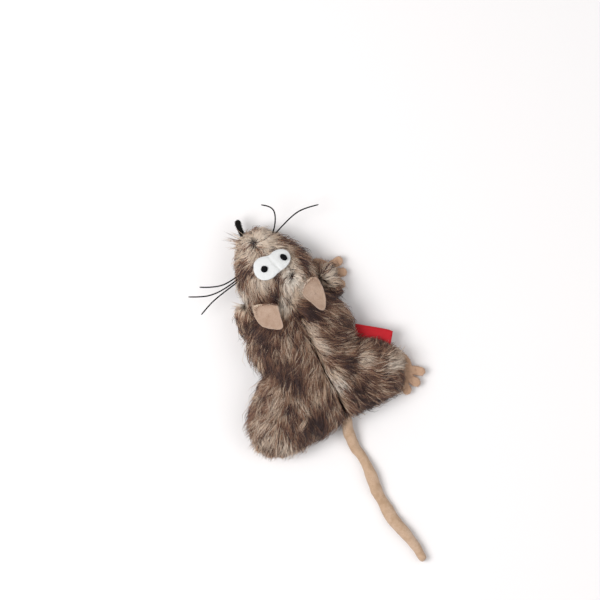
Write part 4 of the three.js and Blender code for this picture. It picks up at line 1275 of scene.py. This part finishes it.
def fuzz_on(piece, body, per_area, length, width, lean, seed):
    """Short fibres that stand off a piece, in its own finish."""
    chance = np.random.default_rng(seed)
    place, normal = strewn(piece, per_area, chance)
    way = unit(normal + chance.normal(0, lean, place.shape))
    bend = chance.normal(0, FUZZ_BEND, place.shape) * FUZZ_CURL
    reach = across(length * chance.uniform(*FUZZ_LENGTHS, len(place)))
    root = place - normal * 0.03 * mm
    line = np.stack([root + reach * (way * t + bend * t * t) for t in FUZZ_STEPS], axis=1)
    line[:, :, 2] = np.maximum(line[:, :, 2], 0.05 * mm)
    mesh = strand_mesh(f"{piece.name}_fuzz", line, np.full(len(line), width), place)
    fuzz = new_piece(f"{piece.name}_fuzz", mesh)
    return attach(dressed(fuzz, piece.data.materials[0]), body)


# Felt paws

# Where a paw sits a little further over than its solid, as in the photograph: its middle, turn in degrees and shift
paw_shifts = {
    "front_paw_right": ((14.6, 22.5), 6, (0.7, -2.1)),
    "front_paw_left": ((-18, 17), 0, (3.2, -0.5)),
}


def felt_paw(node, body, seed):
    paw = copy_of(node + "_felt", node)
    if node in paw_shifts:
        (x, y), degrees, (right, ahead) = paw_shifts[node]
        points = points_of(paw)
        off = points - np.array([x, y, 0]) * mm
        turned = turned_about(off, np.array([0.0, 0.0, 1.0]), np.full(len(off), math.radians(degrees)))
        points[:, :2] = turned[:, :2] + np.array([x + right, y + ahead]) * mm
        move_points(paw, points)
    fused(paw, voxel=0.32 * mm, rounds=4, swell=0.3 * mm)
    wrinkled(paw, size=1.3 * mm, depth=0.3 * mm)
    dressed(paw, paw_material)
    fuzz_on(paw, body, 7 / mm ** 2, length=0.75 * mm, width=0.06 * mm, lean=0.9, seed=seed)
    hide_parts(node)
    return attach(paw, body)


for seed, (end, side) in enumerate((end, side) for end in ("hind", "front") for side in ("right", "left")):
    felt_paw(f"{end}_paw_{side}", f"leg_{end}_{side}", PAW_SEED + seed)


# Tail

# Along the tail, in mm from the mouse's origin: how far it bends aside, how much wider it is, how far it is lifted
tail_bends = (
    (-34, 0), (-40, -0.8), (-47, -0.6), (-56, 0.4), (-63, 0.2), (-69, -0.6), (-76, -0.1), (-83, -0.5), (-90, 0.2),
    (-97, 0.7), (-103, 0.4),
)
tail_widths = ((-34, 0), (-72, 0.02), (-80, 0.22), (-85, 0.12), (-92, 0.1), (-99, 0.18), (-104, 0.0))
tail_lifts = ((-50, 0), (-62, 0.9), (-75, 0.1), (-89, 1.1), (-103, 0.5))
TAIL_FREE, TAIL_LEAVES = -36 * mm, 6 * mm  # where the tail leaves the fur, and over which length
TAIL_SLACK = 4 * mm  # over which it bends
TAIL_TIP = 1.6 * mm  # length over which its end is rounded
TAIL_TIP_NARROWS, TAIL_TIP_FLATTENS = 0.75, 0.6
TAIL_STATIONS, TAIL_NEAR = 80, 1 * mm  # at which its middle is found, from points this near


def eased(marks, along):
    """The value at each place along the tail, eased from mark to mark."""
    spots, values = np.array(marks, float).T
    nearness = np.exp(-(((across(along) - spots * mm) / TAIL_SLACK) ** 2))
    return nearness @ values / nearness.sum(axis=1)


def suede_tail():
    """A flattened tube, which comes down from the rump in one soft curve and lies in slack bends."""
    tail = copy_of("tail_suede_tube", "tail")
    fused(tail, voxel=0.5 * mm, rounds=4, swell=0.12 * mm)
    points = points_of(tail)
    along = points[:, 1]
    stations = np.linspace(along.min(), along.max(), TAIL_STATIONS)
    near = np.abs(across(stations) - along) < TAIL_NEAR
    middle = (near @ points[:, (0, 2)]) / across(near.sum(axis=1))
    soft = np.exp(-(((across(stations) - stations) / TAIL_SLACK) ** 2))
    level = (soft @ middle[:, 1]) / soft.sum(axis=1)
    free = faded(along, TAIL_FREE, TAIL_LEAVES)
    ending = faded(along, along.min() + TAIL_TIP, TAIL_TIP) ** 2
    narrowing = np.sqrt(1 - TAIL_TIP_NARROWS * ending) * (1 + eased(tail_widths, along))
    for k, axis, scale in ((0, 0, narrowing), (1, 2, np.sqrt(1 - TAIL_TIP_FLATTENS * ending))):
        core = np.interp(along, stations, middle[:, k])
        points[:, axis] = core + (points[:, axis] - core) * scale
    points[:, 0] += eased(tail_bends, along) * free * mm
    points[:, 2] += (np.interp(along, stations, level - middle[:, 1]) + eased(tail_lifts, along) * mm) * free
    move_points(tail, points)
    wrinkled(tail, size=4 * mm, depth=0.5 * mm)
    dressed(tail, tail_material)
    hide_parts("tail")
    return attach(tail, "tail")


suede_tail()


# Yarn and thread

def tube_along(name, path, thickness):
    """A smooth tube, closed at both ends."""
    curve = bpy.data.curves.new(name, "CURVE")
    curve.dimensions = "3D"
    curve.bevel_depth = thickness / 2
    curve.bevel_resolution = 2
    curve.use_fill_caps = True
    spline = curve.splines.new("POLY")
    spline.points.add(len(path) - 1)
    for point, spot in zip(spline.points, path):
        point.co = (*spot, 1)
    select_only(new_piece(name, curve))
    bpy.ops.object.convert(target="MESH")
    return smooth_shaded(cleaned(bpy.context.view_layer.objects.active, within=0.0005 * mm))


NOSE_TURNS = 9
NOSE_STEPS = 14  # in each turn
NOSE_ROOT, NOSE_LEAN, NOSE_HOOK = -5.3 * mm, 0.2 * mm, 0.5 * mm  # where its middle starts, leans and hooks, across
NOSE_SUNK, NOSE_SHORT = 0.4 * mm, 0.2 * mm
NOSE_RISE = 0.6 * mm
NOSE_RADIUS, NOSE_KNOB = 0.6 * mm, 0.36 * mm
NOSE_TIP, NOSE_BLUNT = 0.16, 0.02  # share of its length over which its tip is rounded, and how blunt it ends
YARN_THICKNESS, CORE_THICKNESS = 0.8 * mm, 1.5 * mm


def wound_nose():
    """Yarn wound round a core, which thickens to a knob at its tip."""
    low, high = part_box("nose")
    start, end = low.y - NOSE_SUNK, high.y - YARN_THICKNESS / 2 - NOSE_SHORT
    run = np.linspace(0, 1, NOSE_TURNS * NOSE_STEPS)
    middle = np.stack([
        NOSE_ROOT + NOSE_LEAN * run + NOSE_HOOK * run ** 3,
        start + run * (end - start),
        (low.z + high.z) / 2 + NOSE_RISE * run,
    ], axis=1)
    axis = unit(np.gradient(middle, axis=0))
    side = unit(np.cross(axis, (0.0, 0.0, 1.0)))
    over = np.cross(side, axis)
    tip = np.clip((run - (1 - NOSE_TIP)) / NOSE_TIP, 0, 1)
    radius = (NOSE_RADIUS + NOSE_KNOB * run ** 2) * np.sqrt(np.minimum(1 + NOSE_BLUNT - tip ** 2, 1))
    turn = run * NOSE_TURNS * math.tau
    wound = middle + side * across(radius * np.cos(turn)) + over * across(radius * np.sin(turn))
    winding = tube_along("nose_winding", wound, YARN_THICKNESS)
    core = tube_along("nose_core", middle[::9], CORE_THICKNESS)
    nose = joined("nose_yarn", winding, core)
    wrinkled(nose, size=0.5 * mm, depth=0.14 * mm)
    dressed(nose, yarn_material)
    fuzz_on(nose, "head", 14 / mm ** 2, length=0.65 * mm, width=0.06 * mm, lean=0.9, seed=NOSE_SEED)
    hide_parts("nose")
    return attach(nose, "head")


wound_nose()


def whisker(name):
    thread = copy_of(f"{name}_thread", name)
    apply_modifier(thread, "SUBSURF", levels=2, render_levels=2)
    apply_modifier(thread, "DISPLACE", strength=0.06 * mm, mid_level=0, direction="NORMAL")
    smooth_shaded(thread)
    dressed(thread, thread_material)
    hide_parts(name)
    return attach(thread, "head")


for name in ("whisker_left_1", "whisker_left_2", "whisker_left_3", "whisker_right_1", "whisker_right_2"):
    whisker(name)

# Stitches that draw the two dimples in: middle in mm, direction in degrees, length and how far each bows up
dimple_stitches = {
    "muzzle_stitches": (
        ((-2.6, 44.9), 80, 3.6, 0.2), ((-2.2, 44.4), 20, 4.2, 0.2), ((-2.9, 44.3), 140, 3.6, 0.2),
        ((-2.4, 44.8), 112, 2.6, 0.1),
    ),
    "tuft_stitches": (
        ((5.3, 25.6), 45, 2.6, 1.1), ((6.1, 26.0), 52, 1.9, 1.0), ((4.6, 25.1), 36, 1.7, 1.0),
        ((5.6, 26.4), -30, 1.4, 0.9), ((6.0, 25.2), -35, 1.3, 0.9),
    ),
}
STITCH_THICKNESS = 0.17 * mm
STITCH_ENDS = 1.2  # mm by which they go in
STITCH_STEPS = 9


def stitches(name, rows):
    cover = tree_of(nodes["head_cover"])
    threads = []
    for (x, y), degrees, length, bow in rows:
        way = np.array([math.cos(math.radians(degrees)), math.sin(math.radians(degrees)), 0])
        steps = np.linspace(-0.5, 0.5, STITCH_STEPS)
        path = np.array([x, y, 0]) * mm + way * across(steps * length * mm)
        path[:, 2] = ray_heights(cover, path + (0, 0, ABOVE_ALL), down=True)
        path[:, 2] += (bow - 4 * (bow + STITCH_ENDS) * steps ** 2) * mm
        threads.append(tube_along(f"{name}_thread", path, STITCH_THICKNESS))
    made = joined(name, *threads)
    dressed(made, grey_thread_material if name.startswith("muzzle") else thread_material)
    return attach(made, "head")


for name, rows in dimple_stitches.items():
    stitches(name, rows)


# Stage

FLOOR_FADES = (0.3, 0.8)  # metres from its middle, over which the floor is seen to turn white
ROOM_LIGHT = 0.5
# Name, place, power and size of each lamp
lamps = (("window", (-0.45, 0.15, 0.75), 6.5, 0.5), ("fill", (0.5, -0.35, 0.7), 2.0, 0.7))


def lay_floor():
    """Pale paper that runs out into a white background."""
    bpy.ops.object.select_all(action="DESELECT")
    bpy.ops.mesh.primitive_plane_add(size=6)
    floor = bpy.context.active_object
    floor.name = "floor"
    paper = Finish("floor_paper", 0.9, Specular_IOR_Level=0.1, Base_Color=(*PAPER, 1))
    away = paper.node("ShaderNodeVectorMath", {"operation": "LENGTH"}, {0: paper.place()}, output="Value")
    faded_out = away.between(*FLOOR_FADES) * paper.seen()
    lit, white = Value(paper, paper.shader.outputs[0]), paper.node("ShaderNodeEmission")
    paper.shown_as(faded_out, lit, white, paper.tree.nodes["Material Output"])
    floor.data.materials.append(paper.material)


def light_room():
    """An even room, seen as white, with a window and a weaker lamp."""
    world = bpy.data.worlds.new("studio")
    world.use_nodes = True
    bpy.context.scene.world = world
    sky = Nodes(world.node_tree)
    room, white = (
        sky.node("ShaderNodeBackground", {}, {"Color": (1, 1, 1, 1), "Strength": power}) for power in (ROOM_LIGHT, 1)
    )
    sky.shown_as(sky.seen(), room, white, sky.tree.nodes["World Output"])
    for name, place, power, size in lamps:
        bpy.ops.object.light_add(type="AREA", location=place)
        lamp = bpy.context.active_object
        lamp.name = name
        lamp.data.energy = power
        lamp.data.size = size
        lamp.rotation_euler = (-Vector(place)).to_track_quat("-Z", "Y").to_euler()


lay_floor()
light_room()
bpy.context.scene.view_settings.view_transform = "Standard"
